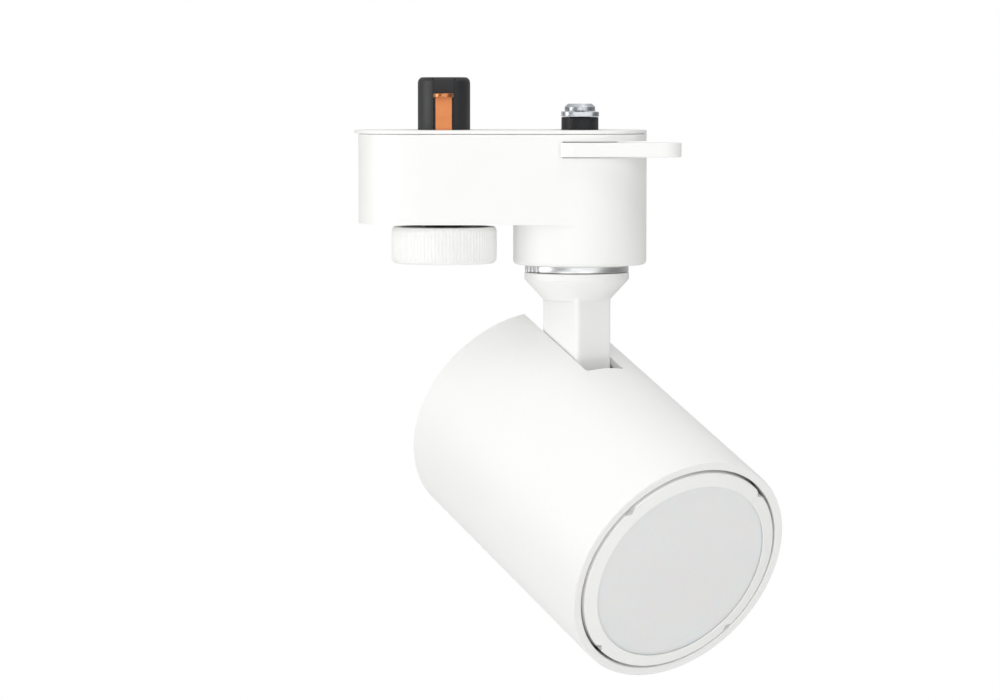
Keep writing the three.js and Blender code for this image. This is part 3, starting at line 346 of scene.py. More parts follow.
class Skin:
    """One piece's faces, gathered from grids and caps. Points that meet become one when it is finished."""

    def __init__(self):
        self.points = []
        self.quads = []
        self.triangles = []
        self.total = 0

    def take(self, points):
        start = self.total
        self.points.append(np.asarray(points, float).reshape(-1, 3))
        self.total += len(self.points[-1])
        return start

    def grid(self, points, around=True, keep=None):
        """Quads between neighbours in rows and columns. If around, the last column joins the first."""
        rows, columns = points.shape[:2]
        index = self.take(points) + np.arange(rows * columns).reshape(rows, columns)
        beside = np.roll(index, -1, 1) if around else index[:, 1:]
        near = index if around else index[:, :-1]
        quads = np.stack([near[:-1], beside[:-1], beside[1:], near[1:]], axis=2)
        self.quads.append(quads[keep] if keep is not None else quads.reshape(-1, 4))

    def cap(self, loops, lift):
        """A flat face inside the first loop and outside the others, lifted into space."""
        flat = np.vstack(loops)
        faces = tessellate_polygon([[(x, y, 0) for x, y in loop] for loop in loops])
        self.triangles.append(self.take(lift(flat)) + np.array(faces))

    def merged(self):
        """Points and faces with points that meet made one and faces that collapsed left out."""
        points = np.vstack(self.points)
        _, first, which = np.unique(np.round(points, 3), axis=0, return_index=True, return_inverse=True)
        which = which.reshape(-1)
        quads = which[np.vstack(self.quads)] if self.quads else np.zeros((0, 4), int)
        triangles = [which[np.vstack(self.triangles)]] if self.triangles else []
        same = quads == np.roll(quads, -1, 1)
        for corner in range(4):
            folded = same[:, corner] & (same.sum(1) == 1)
            others = [(corner + k) % 4 for k in (1, 2, 3)]
            triangles.append(quads[folded][:, others])
        quads = quads[~same.any(1)]
        triangles = np.vstack(triangles)
        whole = (triangles != np.roll(triangles, -1, 1)).all(1)
        return points[first], quads, triangles[whole]


class Sheet:
    """A sheet known by its outer and inner points. Closing it gives both sides and the walls between them."""

    def __init__(self):
        self.outer = Skin()
        self.inner = Skin()

    def grid(self, outer, inner, around=True, keep=None):
        self.outer.grid(outer, around, keep)
        self.inner.grid(inner, around, keep)

    def cap(self, outer_loops, inner_loops, outer_lift, inner_lift):
        """A flat face cut into triangles on the outer side, and the same triangles on the inner side."""
        self.outer.cap(outer_loops, outer_lift)
        start = self.inner.take(inner_lift(np.vstack(inner_loops)))
        self.inner.triangles.append(self.outer.triangles[-1] - self.outer.triangles[-1].min() + start)

    def closed(self):
        """Points and faces of the sheet's two sides, and a quad across the wall at each open edge."""
        points = np.vstack(self.outer.points)
        _, first, which = np.unique(np.round(points, 3), axis=0, return_index=True, return_inverse=True)
        which = which.reshape(-1)
        inner = np.vstack(self.inner.points)[first]
        quads = which[np.vstack(self.outer.quads)]
        triangles = np.zeros((0, 3), int)
        if self.outer.triangles:
            triangles = which[np.vstack(self.outer.triangles)]
        edges = np.vstack([
            np.stack([faces, np.roll(faces, -1, 1)], axis=2).reshape(-1, 2) for faces in (quads, triangles)
        ])
        edges = edges[edges[:, 0] != edges[:, 1]]
        key = np.sort(edges, axis=1)
        _, place, count = np.unique(key, axis=0, return_index=True, return_counts=True)
        open_edges = edges[place[count == 1]]
        shift = len(first)
        walls = np.column_stack([open_edges[:, ::-1], open_edges + shift])
        whole = Skin()
        whole.points = [points[first], inner]
        whole.quads = [quads, quads[:, ::-1] + shift, walls]
        whole.triangles = [triangles, triangles[:, ::-1] + shift]
        return whole.merged()


def slab(skin, loops, low, high, edge, lift, steps=3):
    """An outline with holes raised from low to high, its edges rounded to a quarter circle."""
    turn = np.linspace(0, math.pi / 2, steps + 1) if edge else np.array([math.pi / 2])
    back, rise = edge * (1 - np.sin(turn)), edge * (1 - np.cos(turn))
    rows = [(b, low + r) for b, r in zip(back, rise)]
    rows += [(b, high - r) for b, r in zip(back[::-1], rise[::-1])]
    for loop in loops:
        skin.grid(np.stack([lift(inset(loop, b), height) for b, height in rows]))
    ends = [inset(loop, edge) for loop in loops]
    skin.cap(ends, lambda flat: lift(flat, low))
    skin.cap(ends, lambda flat: lift(flat, high))


def make_piece(name, body, surface, axes, material, bevel=0.0, sharp=40):
    """A mesh object from merged points and faces in millimetres in a body's axes, riding on that body.

    It stands for the solid of its own name.
    """
    points, quads, triangles = surface
    origin, rows = axes
    mesh = bpy.data.meshes.new(name)
    mesh.from_pydata(((points @ rows + origin) * MM).tolist(), [], quads.tolist() + triangles.tolist())
    whole = bmesh.new()
    whole.from_mesh(mesh)
    bmesh.ops.recalc_face_normals(whole, faces=whole.faces)
    whole.to_mesh(mesh)
    whole.free()
    mesh.shade_smooth()
    mesh.materials.append(material)
    piece = bpy.data.objects.new(name, mesh)
    bpy.context.scene.collection.objects.link(piece)
    if bevel:
        rounding = piece.modifiers.new("edge", "BEVEL")
        rounding.width = bevel * MM
        rounding.segments = 3
        rounding.limit_method = "ANGLE"
        rounding.angle_limit = math.radians(sharp)
    else:
        mesh.set_sharp_from_angle(angle=math.radians(sharp))
    weighted = piece.modifiers.new("flat faces stay flat", "WEIGHTED_NORMAL")
    weighted.keep_sharp = True
    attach(piece, body)
    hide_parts(name.removesuffix("_fine"))


# ---- Materials ----


def linear(hex_colour):
    """An sRGB hex colour as linear red, green, blue and 1."""
    values = np.array([int(hex_colour[i : i + 2], 16) for i in (1, 3, 5)]) / 255
    curve = np.where(values <= 0.04045, values / 12.92, ((values + 0.055) / 1.055) ** 2.4)
    return (*curve.tolist(), 1.0)


def add(tree, kind, inputs=None, **settings):
    """Adds a node with its settings. Each input is a value, or another node's output to link."""
    node = tree.nodes.new(kind)
    for name, value in settings.items():
        setattr(node, name, value)
    for name, value in (inputs or {}).items():
        if isinstance(value, bpy.types.NodeSocket):
            tree.links.new(value, node.inputs[name])
        else:
            node.inputs[name].default_value = value
    return node


DRIFT = 18  # millimetres from one slow change of tone to the next


def grained(name, slot, tones, grain, relief, roughness, **shader):
    """A surface with a fine grain in its relief and a slow drift in its colour and its roughness.

    tones are its darker and lighter colours, grain the width of one grain and relief its height, both in
    millimetres, and roughness its lowest and highest values.
    """
    material = bpy.data.materials.new(name)
    material.use_nodes = True
    tree = material.node_tree
    tree.nodes.clear()
    place = add(tree, "ShaderNodeTexCoord").outputs["Object"]
    fine = add(tree, "ShaderNodeTexNoise", {
        "Vector": place, "Scale": 1 / (grain * MM), "Detail": 3.0, "Roughness": 0.6,
    })
    slow = add(tree, "ShaderNodeTexNoise", {"Vector": place, "Scale": 1 / (DRIFT * MM), "Detail": 2.0})
    both = add(tree, "ShaderNodeMix", {
        "Factor": 0.5, "A": fine.outputs["Fac"], "B": slow.outputs["Fac"],
    })
    # A colour mix takes its two colours at sockets 6 and 7 and gives its result at 2.
    colour = add(tree, "ShaderNodeMix", {
        "Factor": both.outputs["Result"], 6: linear(tones[0]), 7: linear(tones[1]),
    }, data_type="RGBA")
    dull = add(tree, "ShaderNodeMapRange", {
        "Value": both.outputs["Result"], "From Min": 0.3, "From Max": 0.7,
        "To Min": roughness[0], "To Max": roughness[1],
    })
    bump = add(tree, "ShaderNodeBump", {
        "Height": fine.outputs["Fac"], "Distance": relief * MM, "Strength": 1.0,
    })
    principled = add(tree, "ShaderNodeBsdfPrincipled", {
        "Base Color": colour.outputs[2], "Roughness": dull.outputs["Result"],
        "Normal": bump.outputs["Normal"], **shader,
    })
    add(tree, "ShaderNodeOutputMaterial", {"Surface": principled.outputs["BSDF"]})
    material["slot"] = slot
    return material


# Glass-filled PBT, moulded in a spark-eroded tool: a soft sheen over a grain too fine to see one by one.
white_pbt = grained(
    "moulded white PBT", "white_plastic", ("#f3f3f1", "#f9f9f8"),
    grain=0.35, relief=0.006, roughness=(0.36, 0.46),
)

# Polyester powder coat, matt white, baked on: a slow orange peel about a millimetre across.
powder_coat = grained(
    "white powder coat", "white_enamel", ("#f2f2f1", "#f7f7f6"),
    grain=1.1, relief=0.012, roughness=(0.44, 0.54),
)

# Polycarbonate with a diffusing filler, its face frosted: no gloss and a little light let in.
frosted_polycarbonate = grained(
    "frosted polycarbonate", "frosted_plastic", ("#e8e8e8", "#eeeeee"),
    grain=0.3, relief=0.004, roughness=(0.5, 0.6), **{"Subsurface Weight": 0.3, "Subsurface Scale": 0.002},
)

# Zinc-plated steel from a barrel: pale blue-grey with a fine satin.
zinc_plate = grained(
    "zinc-plated steel", "steel", ("#b4b8bd", "#ccd0d4"),
    grain=0.5, relief=0.003, roughness=(0.24, 0.36), Metallic=1.0,
)

# Nickel plate on stamped steel, tumbled: pale and bright, with a wide soft shine.
nickel_plate = grained(
    "satin nickel plate", "steel", ("#dcddde", "#e8e9e9"),
    grain=0.8, relief=0.0008, roughness=(0.3, 0.38), Metallic=1.0,
)

# Free-cutting brass, turned: warm yellow with a close satin from the tool.
turned_brass = grained(
    "turned brass", "brass", ("#c9a85e", "#dcbc74"),
    grain=0.4, relief=0.003, roughness=(0.24, 0.34), Metallic=1.0,
)

# Copper alloy strip, rolled: red-orange and half bright.
rolled_copper = grained(
    "rolled copper", "copper", ("#bd7447", "#d08a5c"),
    grain=0.3, relief=0.003, roughness=(0.26, 0.36), Metallic=1.0,
)

# Die-cast aluminium, as cast: grainy and dull.
die_cast_aluminium = grained(
    "die-cast aluminium", "cast_aluminium", ("#a9abad", "#c3c5c7"),
    grain=0.7, relief=0.015, roughness=(0.42, 0.56), Metallic=1.0,
)

# Aluminium vapour on lacquer: a mirror with a slight haze.
vapour_mirror = grained(
    "metallised mirror", "mirror", ("#e2e4e6", "#ebedef"),
    grain=0.8, relief=0.0005, roughness=(0.05, 0.1), Metallic=1.0,
)

# Glass-filled nylon, moulded black: a dull grain.
black_nylon = grained(
    "black nylon", "black_plastic", ("#1b1c1e", "#26272a"),
    grain=0.4, relief=0.008, roughness=(0.42, 0.55),
)

# Acetal, moulded in its natural grey: waxy.
grey_acetal = grained(
    "grey acetal", "grey_plastic", ("#a3a4a3", "#b0b1b0"),
    grain=0.4, relief=0.004, roughness=(0.32, 0.42),
)

# Glass-epoxy board under green solder mask: glossy over a faint weave.
solder_mask = grained(
    "green solder mask", "circuit_board", ("#23553a", "#2f6d4a"),
    grain=0.5, relief=0.004, roughness=(0.26, 0.36),
)

# Silicone filled with phosphor, cast over the chips: a soft yellow skin.
phosphor_silicone = grained(
    "phosphor silicone", "phosphor", ("#dfb62f", "#eccb4a"),
    grain=0.4, relief=0.003, roughness=(0.3, 0.45),
)

# PVC wire sheaths, extruded: smooth and half glossy.
red_pvc = grained(
    "red PVC sheath", "red_sheath", ("#9c2f26", "#ad3a30"),
    grain=0.3, relief=0.003, roughness=(0.34, 0.44),
)
blue_pvc = grained(
    "blue PVC sheath", "blue_sheath", ("#26467f", "#315596"),
    grain=0.3, relief=0.003, roughness=(0.34, 0.44),
)

# ---- Adapter ----


def adapter_body():
    """A trough with half-round ends and a drum under one end, as one moulded sheet.

    Each column of the wall is a point of the outer outline and the same point drawn in by the wall. The floor
    lies between the left part of the outline and the drum's left half, and the drum's rows run down its wall,
    round its lower edge and in to its hole.
    """
    sheet = Sheet()
    quarter = math.pi / 2
    inner_half = BODY_HALF - SHELL_WALL
    gap_turn = SIGHT_GAP / inner_half
    window_back = LOCK_X - BODY_HALF * math.tan(math.asin(LEVER_ARM_BACK / inner_half) + gap_turn)
    arm_inner = -LEVER_FRONT - LEVER_BAR
    window_end = LEVER_SWING - math.asin(arm_inner / BODY_HALF) + gap_turn
    window_steps = 56

    def left_chain(half):
        """The outline from the drum's +Y side round the contact end to its -Y side."""
        end = arc(BODY_HALF - BODY_END, 0, half, quarter, 3 * quarter, 64)
        far = np.linspace(LOCK_X, BODY_HALF - BODY_END, 12)[:-1]
        near = np.append(np.linspace(BODY_HALF - BODY_END, window_back, 12)[1:], LOCK_X)
        return np.vstack([
            np.column_stack([far, np.full(len(far), half)]),
            end,
            np.column_stack([near, np.full(len(near), -half)]),
        ])

    def right_chain(half):
        """The drum's right half, between its two sides, with a column at the window's end."""
        turn = np.concatenate([
            np.linspace(-quarter, window_end, window_steps)[1:], np.linspace(window_end, quarter, 16)[1:-1],
        ])
        return np.column_stack([LOCK_X + half * np.cos(turn), half * np.sin(turn)])

    heights = np.array([
        SHELL_TOP, LEVER_TOP + WINDOW_GAP, LEVER_BOTTOM - WINDOW_GAP, *WALL_ROWS, -BODY_DEPTH,
    ])
    inner_heights = np.append(heights[:-1], BODY_FLOOR_TOP)
    outer_loop = np.vstack([left_chain(BODY_HALF), right_chain(BODY_HALF)])
    inner_loop = np.vstack([left_chain(inner_half), right_chain(inner_half)])
    left_count = len(left_chain(BODY_HALF))
    window = slice(left_count - 2, left_count + window_steps - 2)
    keep = np.ones((len(heights) - 1, len(outer_loop)), bool)
    keep[1, window] = False
    sheet.grid(
        np.stack([upright(outer_loop, z) for z in heights]),
        np.stack([upright(inner_loop, z) for z in inner_heights]),
        keep=keep,
    )

    drum_turn = np.linspace(quarter, 3 * quarter, 64)

    def drum_left(half):
        return np.column_stack([LOCK_X + half * np.cos(drum_turn), half * np.sin(drum_turn)])

    neck = circle(KNOB_NECK + HOLE_GAP, 48, CONTACT_X)[::-1]
    sheet.cap(
        [np.vstack([left_chain(BODY_HALF), drum_left(BODY_HALF)[::-1][1:-1]]), neck],
        [np.vstack([left_chain(inner_half), drum_left(inner_half)[::-1][1:-1]]), neck],
        lambda flat: upright(flat, -BODY_DEPTH),
        lambda flat: upright(flat, BODY_FLOOR_TOP),
    )

    def drum_rows(half, top, bottom, edge):
        """Rows down the wall, round a quarter circle of radius edge, and in to the hole for the nipple."""
        loop = np.vstack([drum_left(half), right_chain(half)]) - (LOCK_X, 0)
        direction = loop / half
        turn = np.linspace(0, quarter, 9)
        rows = [upright(loop + (LOCK_X, 0), z) for z in np.linspace(top, bottom + edge, 5)[:-1]]
        for angle in turn:
            radius = half - edge * (1 - math.cos(angle))
            rows.append(upright(direction * radius + (LOCK_X, 0), bottom + edge * (1 - math.sin(angle))))
        rows.append(upright(direction * (NIPPLE_RADIUS + HOLE_GAP) + (SWIVEL_X, 0), bottom))
        return np.stack(rows)

    sheet.grid(
        drum_rows(BODY_HALF, -BODY_DEPTH, -DRUM_DEPTH, DRUM_EDGE),
        drum_rows(inner_half, BODY_FLOOR_TOP, DRUM_FLOOR_TOP, DRUM_INNER_EDGE),
    )
    make_piece("adapter_body_fine", "adapter", sheet.closed(), ADAPTER, white_pbt, bevel=0.25)


def cover_screw_places():
    middle = (CONTACT_X + LOCK_X) / 2
    return [
        (-BODY_END + COVER_SCREW_INSET, 0),
        (middle, COVER_SCREW_SPREAD / 2),
        (middle, -COVER_SCREW_SPREAD / 2),
    ]


def adapter_cover():
    """A thin plate with half-round ends, holes for the two posts and a seat for each screw."""
    skin = Skin()
    plate = stadium(-BODY_END - COVER_LIP, BODY_END, BODY_HALF)
    holes = [circle(POST_RADIUS + HOLE_GAP, 72, CONTACT_X), circle(LOCK_NECK + HOLE_GAP, 60, LOCK_X)]
    holes += [circle(COVER_SCREW_HEAD + COVER_SCREW_GAP, 36, x, y) for x, y in cover_screw_places()]
    loops = [plate, *(hole[::-1] for hole in holes)]
    slab(skin, loops, -COVER_THICKNESS, COVER_TOP, edge=0.15, lift=upright)
    make_piece("adapter_cover_fine", "adapter", skin.merged(), ADAPTER, white_pbt)


def screw(name, body, axes, place, profile, arm, slot, depth):
    """A screw turned from a profile that runs from its tip to its flat top, with a cross recess."""
    skin = Skin()
    rows = turned(profile, 40)
    skin.grid(rows)
    top = profile[-1][1]
    recess = cross_outline(arm, slot)
    skin.cap([rows[-1][:, :2], recess[::-1]], lambda flat: upright(flat, top))
    skin.grid(np.stack([upright(recess, top), upright(recess, top - depth)]))
    skin.cap([recess], lambda flat: upright(flat, top - depth))
    points, quads, triangles = skin.merged()
    make_piece(name, body, (place(points), quads, triangles), axes, zinc_plate)


def pan_profile(head, height, shank, length):
    """Tip, shank, the head's underside and its domed edge, as (radius, height).

    head and shank are radii, height is the head's and length the shank's.
    """
    corners = [
        (0, -length), (shank - 0.25, -length), (shank, -length + 0.3), (shank, 0),
        (head, 0), (head, height * 0.55), (head * 0.78, height),
    ]
    return eased(corners, [0, 0, 0, 0, 0.1, height * 0.3, 0], closed=False)


def adapter_screws():
    """Countersunk screws, sunk just below the cover."""
    profile = [
        (0, -COVER_SCREW_LENGTH), (COVER_SCREW_SHANK, -COVER_SCREW_LENGTH),
        (COVER_SCREW_SHANK, -COVER_THICKNESS), (COVER_SCREW_HEAD, -COVER_SCREW_SUNK),
    ]
    for i, (x, y) in enumerate(cover_screw_places()):
        screw(
            "cover_screw_%d_fine" % (i + 1), "adapter", ADAPTER, profile=profile,
            arm=1.3, slot=0.3, depth=0.5, place=lambda points, x=x, y=y: points + (x, y, 0),
        )


def tooth_washer():
    """A plated ring with a short row of gaps in its edge.

    In a gap the radius falls by its depth along a smooth step, 1 - (offset / half width)^6.
    """
    skin = Skin()
    middles = TOOTH_ROW_TURN + np.arange(TOOTH_GAPS) * TOOTH_PITCH
    near = np.linspace(-1, 1, 17) * 1.3 * TOOTH_GAP_WIDTH / 2 / RING_RADIUS
    angle = np.unique(np.round(np.concatenate([
        np.arange(240) * TAU / 240, (middles[:, None] + near).ravel(),
    ]), 5))
    off = np.abs(angle[:, None] - middles).min(1) * RING_RADIUS / (TOOTH_GAP_WIDTH / 2)
    radius = RING_RADIUS - TOOTH_GAP_DEPTH * np.clip(1 - off**6, 0, 1)
    outline = np.column_stack([radius * np.cos(angle), radius * np.sin(angle)])
    hole = circle(NIPPLE_RADIUS + HOLE_GAP, 60)[::-1]
    slab(skin, [outline, hole], RING_TOP - RING_THICKNESS, RING_TOP, edge=0.1, lift=upright)
    make_piece("tooth_washer_fine", "adapter", skin.merged(), (SWIVEL[0], np.eye(3)), nickel_plate)


# ---- Contact rotor ----


def contact_knob():
    """A round knob with a hub in the open well of its top.

    Its ribs are a cosine round the edge on a low raised band, which fades out in the plain edge above it and
    in the rounded one below it.
    """
    skin = Skin()
    plain = KNOB_RADIUS - RIB_DEPTH
    well = plain - KNOB_WALL
    well_floor = KNOB_TOP - KNOB_WELL
    seat = KNOB_BOTTOM + KNOB_SEAT_DEPTH
    profile = eased(
        [(0, KNOB_TOP), (KNOB_HUB, KNOB_TOP), (KNOB_HUB, well_floor), (well, well_floor), (well, KNOB_TOP),
         (plain, KNOB_TOP), (plain, KNOB_BOTTOM), (KNOB_SEAT, KNOB_BOTTOM), (KNOB_SEAT, seat), (0, seat)],
        [0, 0.3, 0.3, 0.3, 0.2, 0.4, 1.0, 0.3, 0, 0], closed=False)
    wall = np.linspace(KNOB_TOP - 0.45, KNOB_BOTTOM + 1.05, 22)
    rim = np.argmax((profile[:, 0] > plain - 0.01) & (profile[:, 1] < KNOB_TOP - 0.39))
    profile = np.vstack([profile[:rim], np.column_stack([np.full(len(wall), plain), wall]), profile[rim:]])
    sides = KNOB_RIBS * 8
    points = turned(profile, sides)
    angle = np.arange(sides) * TAU / sides
    rib = RIB_DEPTH * (0.72 + 0.28 * np.cos(KNOB_RIBS * angle))
    height = profile[:, 1:2]
    below_band = np.clip((KNOB_TOP - 0.5 - height) / 0.25, 0, 1)
    above_edge = np.clip((height - KNOB_BOTTOM - 0.35) / 0.8, 0, 1)
    outside = profile[:, 0:1] > plain - 1.0
    points[..., :2] *= 1 + (rib * below_band * above_edge * outside / plain)[..., None]
    skin.grid(points)
    make_piece("contact_knob_fine", "contact_rotor", skin.merged(), ROTOR, white_pbt, sharp=60)


def contact_post():
    """A post with a rounded top, a collar at its foot and a groove down each side for a blade.

    At the top each row is the outline drawn in by inset * (1 - cos a) and raised by crown * sin a.
    """
    skin = Skin()
    half = BLADE_WIDTH / 2 + GROOVE_SIDE
    floor = POST_RADIUS - BLADE_THICKNESS - GROOVE_BACK
    collar_low, collar_top = BODY_FLOOR_TOP + 0.3, BODY_FLOOR_TOP + 2
    shoulder = POST_TOP - POST_CROWN
    edge = math.asin(half / POST_RADIUS)
    quarter = math.pi / 2
    side = arc(0, 0, POST_RADIUS, edge - quarter, quarter - edge, 32)
    groove = np.array([[half, floor], [-half, floor]])
    outline = np.vstack([side, groove, -side, -groove])
    rows = [upright(outline, z) for z in (collar_top, 0, shoulder)]
    for angle in np.linspace(0, quarter, 7)[1:]:
        drawn = inset(outline, POST_CROWN_INSET * (1 - math.cos(angle)))
        rows.append(upright(drawn, shoulder + POST_CROWN * math.sin(angle)))
    skin.grid(np.stack(rows))
    skin.cap([outline], lambda flat: upright(flat, collar_top))
    skin.cap([rows[-1][:, :2]], lambda flat: upright(flat, POST_TOP))
    skin.grid(turned([
        (0, KNOB_TOP), (KNOB_NECK, KNOB_TOP), (KNOB_NECK, collar_low),
        (POST_COLLAR, collar_low), (POST_COLLAR, collar_top), (0, collar_top),
    ], 64))
    make_piece("contact_post_fine", "contact_rotor", skin.merged(), ROTOR, black_nylon)


def contact_blades():
    """A strip in each of the post's grooves, with a round-tipped tongue that stands out at its head."""
    for name, way in (("live", 1), ("neutral", -1)):
        skin = Skin()
        inner = POST_RADIUS - BLADE_THICKNESS - 0.15
        half = BLADE_WIDTH / 2
        tongue = half + 0.5
        tip = arc(BLADE_REACH - tongue, 0, tongue, -math.pi / 2, math.pi / 2, 20)
        outline = np.vstack([[[inner, tongue], [inner, -tongue]], tip])
        slab(skin, [outline], BLADE_HEIGHT, BLADE_HEIGHT + BLADE_THICKNESS, edge=0.15, lift=upright)
        outer = inner + BLADE_THICKNESS
        tail = np.array([[inner, half], [inner, -half], [outer, -half], [outer, half]])
        slab(skin, [tail], -BLADE_TAIL, BLADE_HEIGHT + 0.5, edge=0.12, lift=upright)
        points, quads, triangles = skin.merged()
        points = np.column_stack([-way * points[:, 1], way * points[:, 0], points[:, 2]])
        surface = points, quads, triangles
        make_piece("contact_blade_%s_fine" % name, "contact_rotor", surface, ROTOR, rolled_copper)


def knob_screw():
    seat = KNOB_BOTTOM + KNOB_SEAT_DEPTH - 0.1
    screw(
        "knob_screw_fine", "contact_rotor", ROTOR,
        profile=pan_profile(head=2.7, height=1.4, shank=1.05, length=8),
        arm=1.6, slot=0.32, depth=0.7, place=lambda points: points * (1, -1, -1) + (0, 0, seat),
    )


# ---- Lock ----


def lock_lever():
    """A bar with half-round ends, an arm beside its left end, and a hub about the lock axis."""
    skin = Skin()
    end = LEVER_BAR / 2
    middle = LEVER_FRONT + end
    lip = -BODY_HALF - SIGHT_GAP
    from_middle = middle - lip
    left = -LEVER_BACK + math.sqrt(end**2 - from_middle**2)
    start = math.pi + math.asin(from_middle / end)
    arm = -LEVER_ARM_BACK
    fillet, corner = 0.8, 0.6
    outline = np.vstack([
        arc(left, middle, end, start, 1.5 * math.pi, 16),
        arc(LEVER_REACH - end, middle, end, -math.pi / 2, math.pi / 2, 40),
        [[LEVER_HUB + fillet, middle + end]],
        arc(LEVER_HUB + fillet, middle + end + fillet, fillet, -math.pi / 2, -math.pi, 5)[1:],
        arc(0, 0, LEVER_HUB, 0, math.pi + math.acos(LEVER_ARM_BACK / LEVER_HUB), 56),
        [[arm, lip + corner]],
        arc(arm - corner, lip + corner, corner, 0, -math.pi / 2, 5)[1:],
    ])
    slab(skin, [outline], LEVER_BOTTOM, LEVER_TOP, edge=0.3, lift=upright, steps=4)
    make_piece("lock_lever_fine", "lock", skin.merged(), LOCK, white_pbt)


def lock_post():
    """A round post with a square end for the plate, seen through it."""
    skin = Skin()
    collar_top, collar_low = SHELL_TOP + 0.05, LEVER_TOP + 0.15
    foot, waist, shank, collar = 3.6, 2.6, 3, 6.5
    shoulder = PLATE_HEIGHT - 0.15
    corners = [
        (0, -9), (foot, -9), (foot, -8), (waist, -7.6), (waist, LEVER_BOTTOM), (shank, LEVER_BOTTOM),
        (shank, collar_low), (collar, collar_low), (collar, collar_top), (LOCK_NECK, collar_top),
        (LOCK_NECK, shoulder), (0, shoulder),
    ]
    skin.grid(turned(eased(corners, [0, 0.2, 0.1, 0, 0, 0, 0, 0.15, 0.15, 0, 0.2, 0], closed=False), 72))
    half = PLATE_SOCKET - 0.15
    square = eased([(half, -half), (half, half), (-half, half), (-half, -half)], 0.3)
    slab(skin, [square], shoulder, PLATE_HEIGHT + PLATE_THICKNESS - 0.1, edge=0.1, lift=upright)
    make_piece("lock_post_fine", "lock", skin.merged(), LOCK, black_nylon)


def lock_plate():
    """A stamped plate with rounded corners and a square hole."""
    skin = Skin()
    half_x, half_y, socket = PLATE_WIDTH / 2, PLATE_LENGTH / 2, PLATE_SOCKET
    corners = [(half_x, -half_y), (half_x, half_y), (-half_x, half_y), (-half_x, -half_y)]
    outline = eased(corners, PLATE_CORNER, steps=10)
    hole = eased([(socket, -socket), (socket, socket), (-socket, socket), (-socket, -socket)], 0.2)[::-1]
    slab(skin, [outline, hole], PLATE_HEIGHT, PLATE_HEIGHT + PLATE_THICKNESS, edge=0.15, lift=upright)
    make_piece("lock_plate_fine", "lock", skin.merged(), LOCK, zinc_plate)


def lock_plate_screw():
    seat = PLATE_HEIGHT + PLATE_THICKNESS + 0.15
    screw(
        "lock_plate_screw_fine", "lock", LOCK, profile=pan_profile(head=3.8, height=1.8, shank=1.2, length=6),
        arm=2.3, slot=0.45, depth=0.9, place=lambda points: points + (0, 0, seat),
    )


# ---- Stem ----


def section(half_x, half_y, corner, count):
    """A rounded rectangle from -half_x to half_x and -half_y to half_y, with count points on each side."""
    corner = min(corner, half_x * 0.98, half_y * 0.98)
    out = []
    middles = [(half_x - corner, half_y - corner), (corner - half_x, half_y - corner),
               (corner - half_x, corner - half_y), (half_x - corner, corner - half_y)]
    for i, (x, y) in enumerate(middles):
        rounded = arc(x, y, corner, i * math.pi / 2, (i + 1) * math.pi / 2, 6)
        following = middles[(i + 1) % 4]
        start = rounded[-1]
        end = arc(*following, corner, (i + 1) * math.pi / 2, (i + 2) * math.pi / 2, 6)[0]
        share = np.linspace(0, 1, count + 2)[1:-1, None]
        out += [rounded, start + (end - start) * share]
    return np.vstack(out)


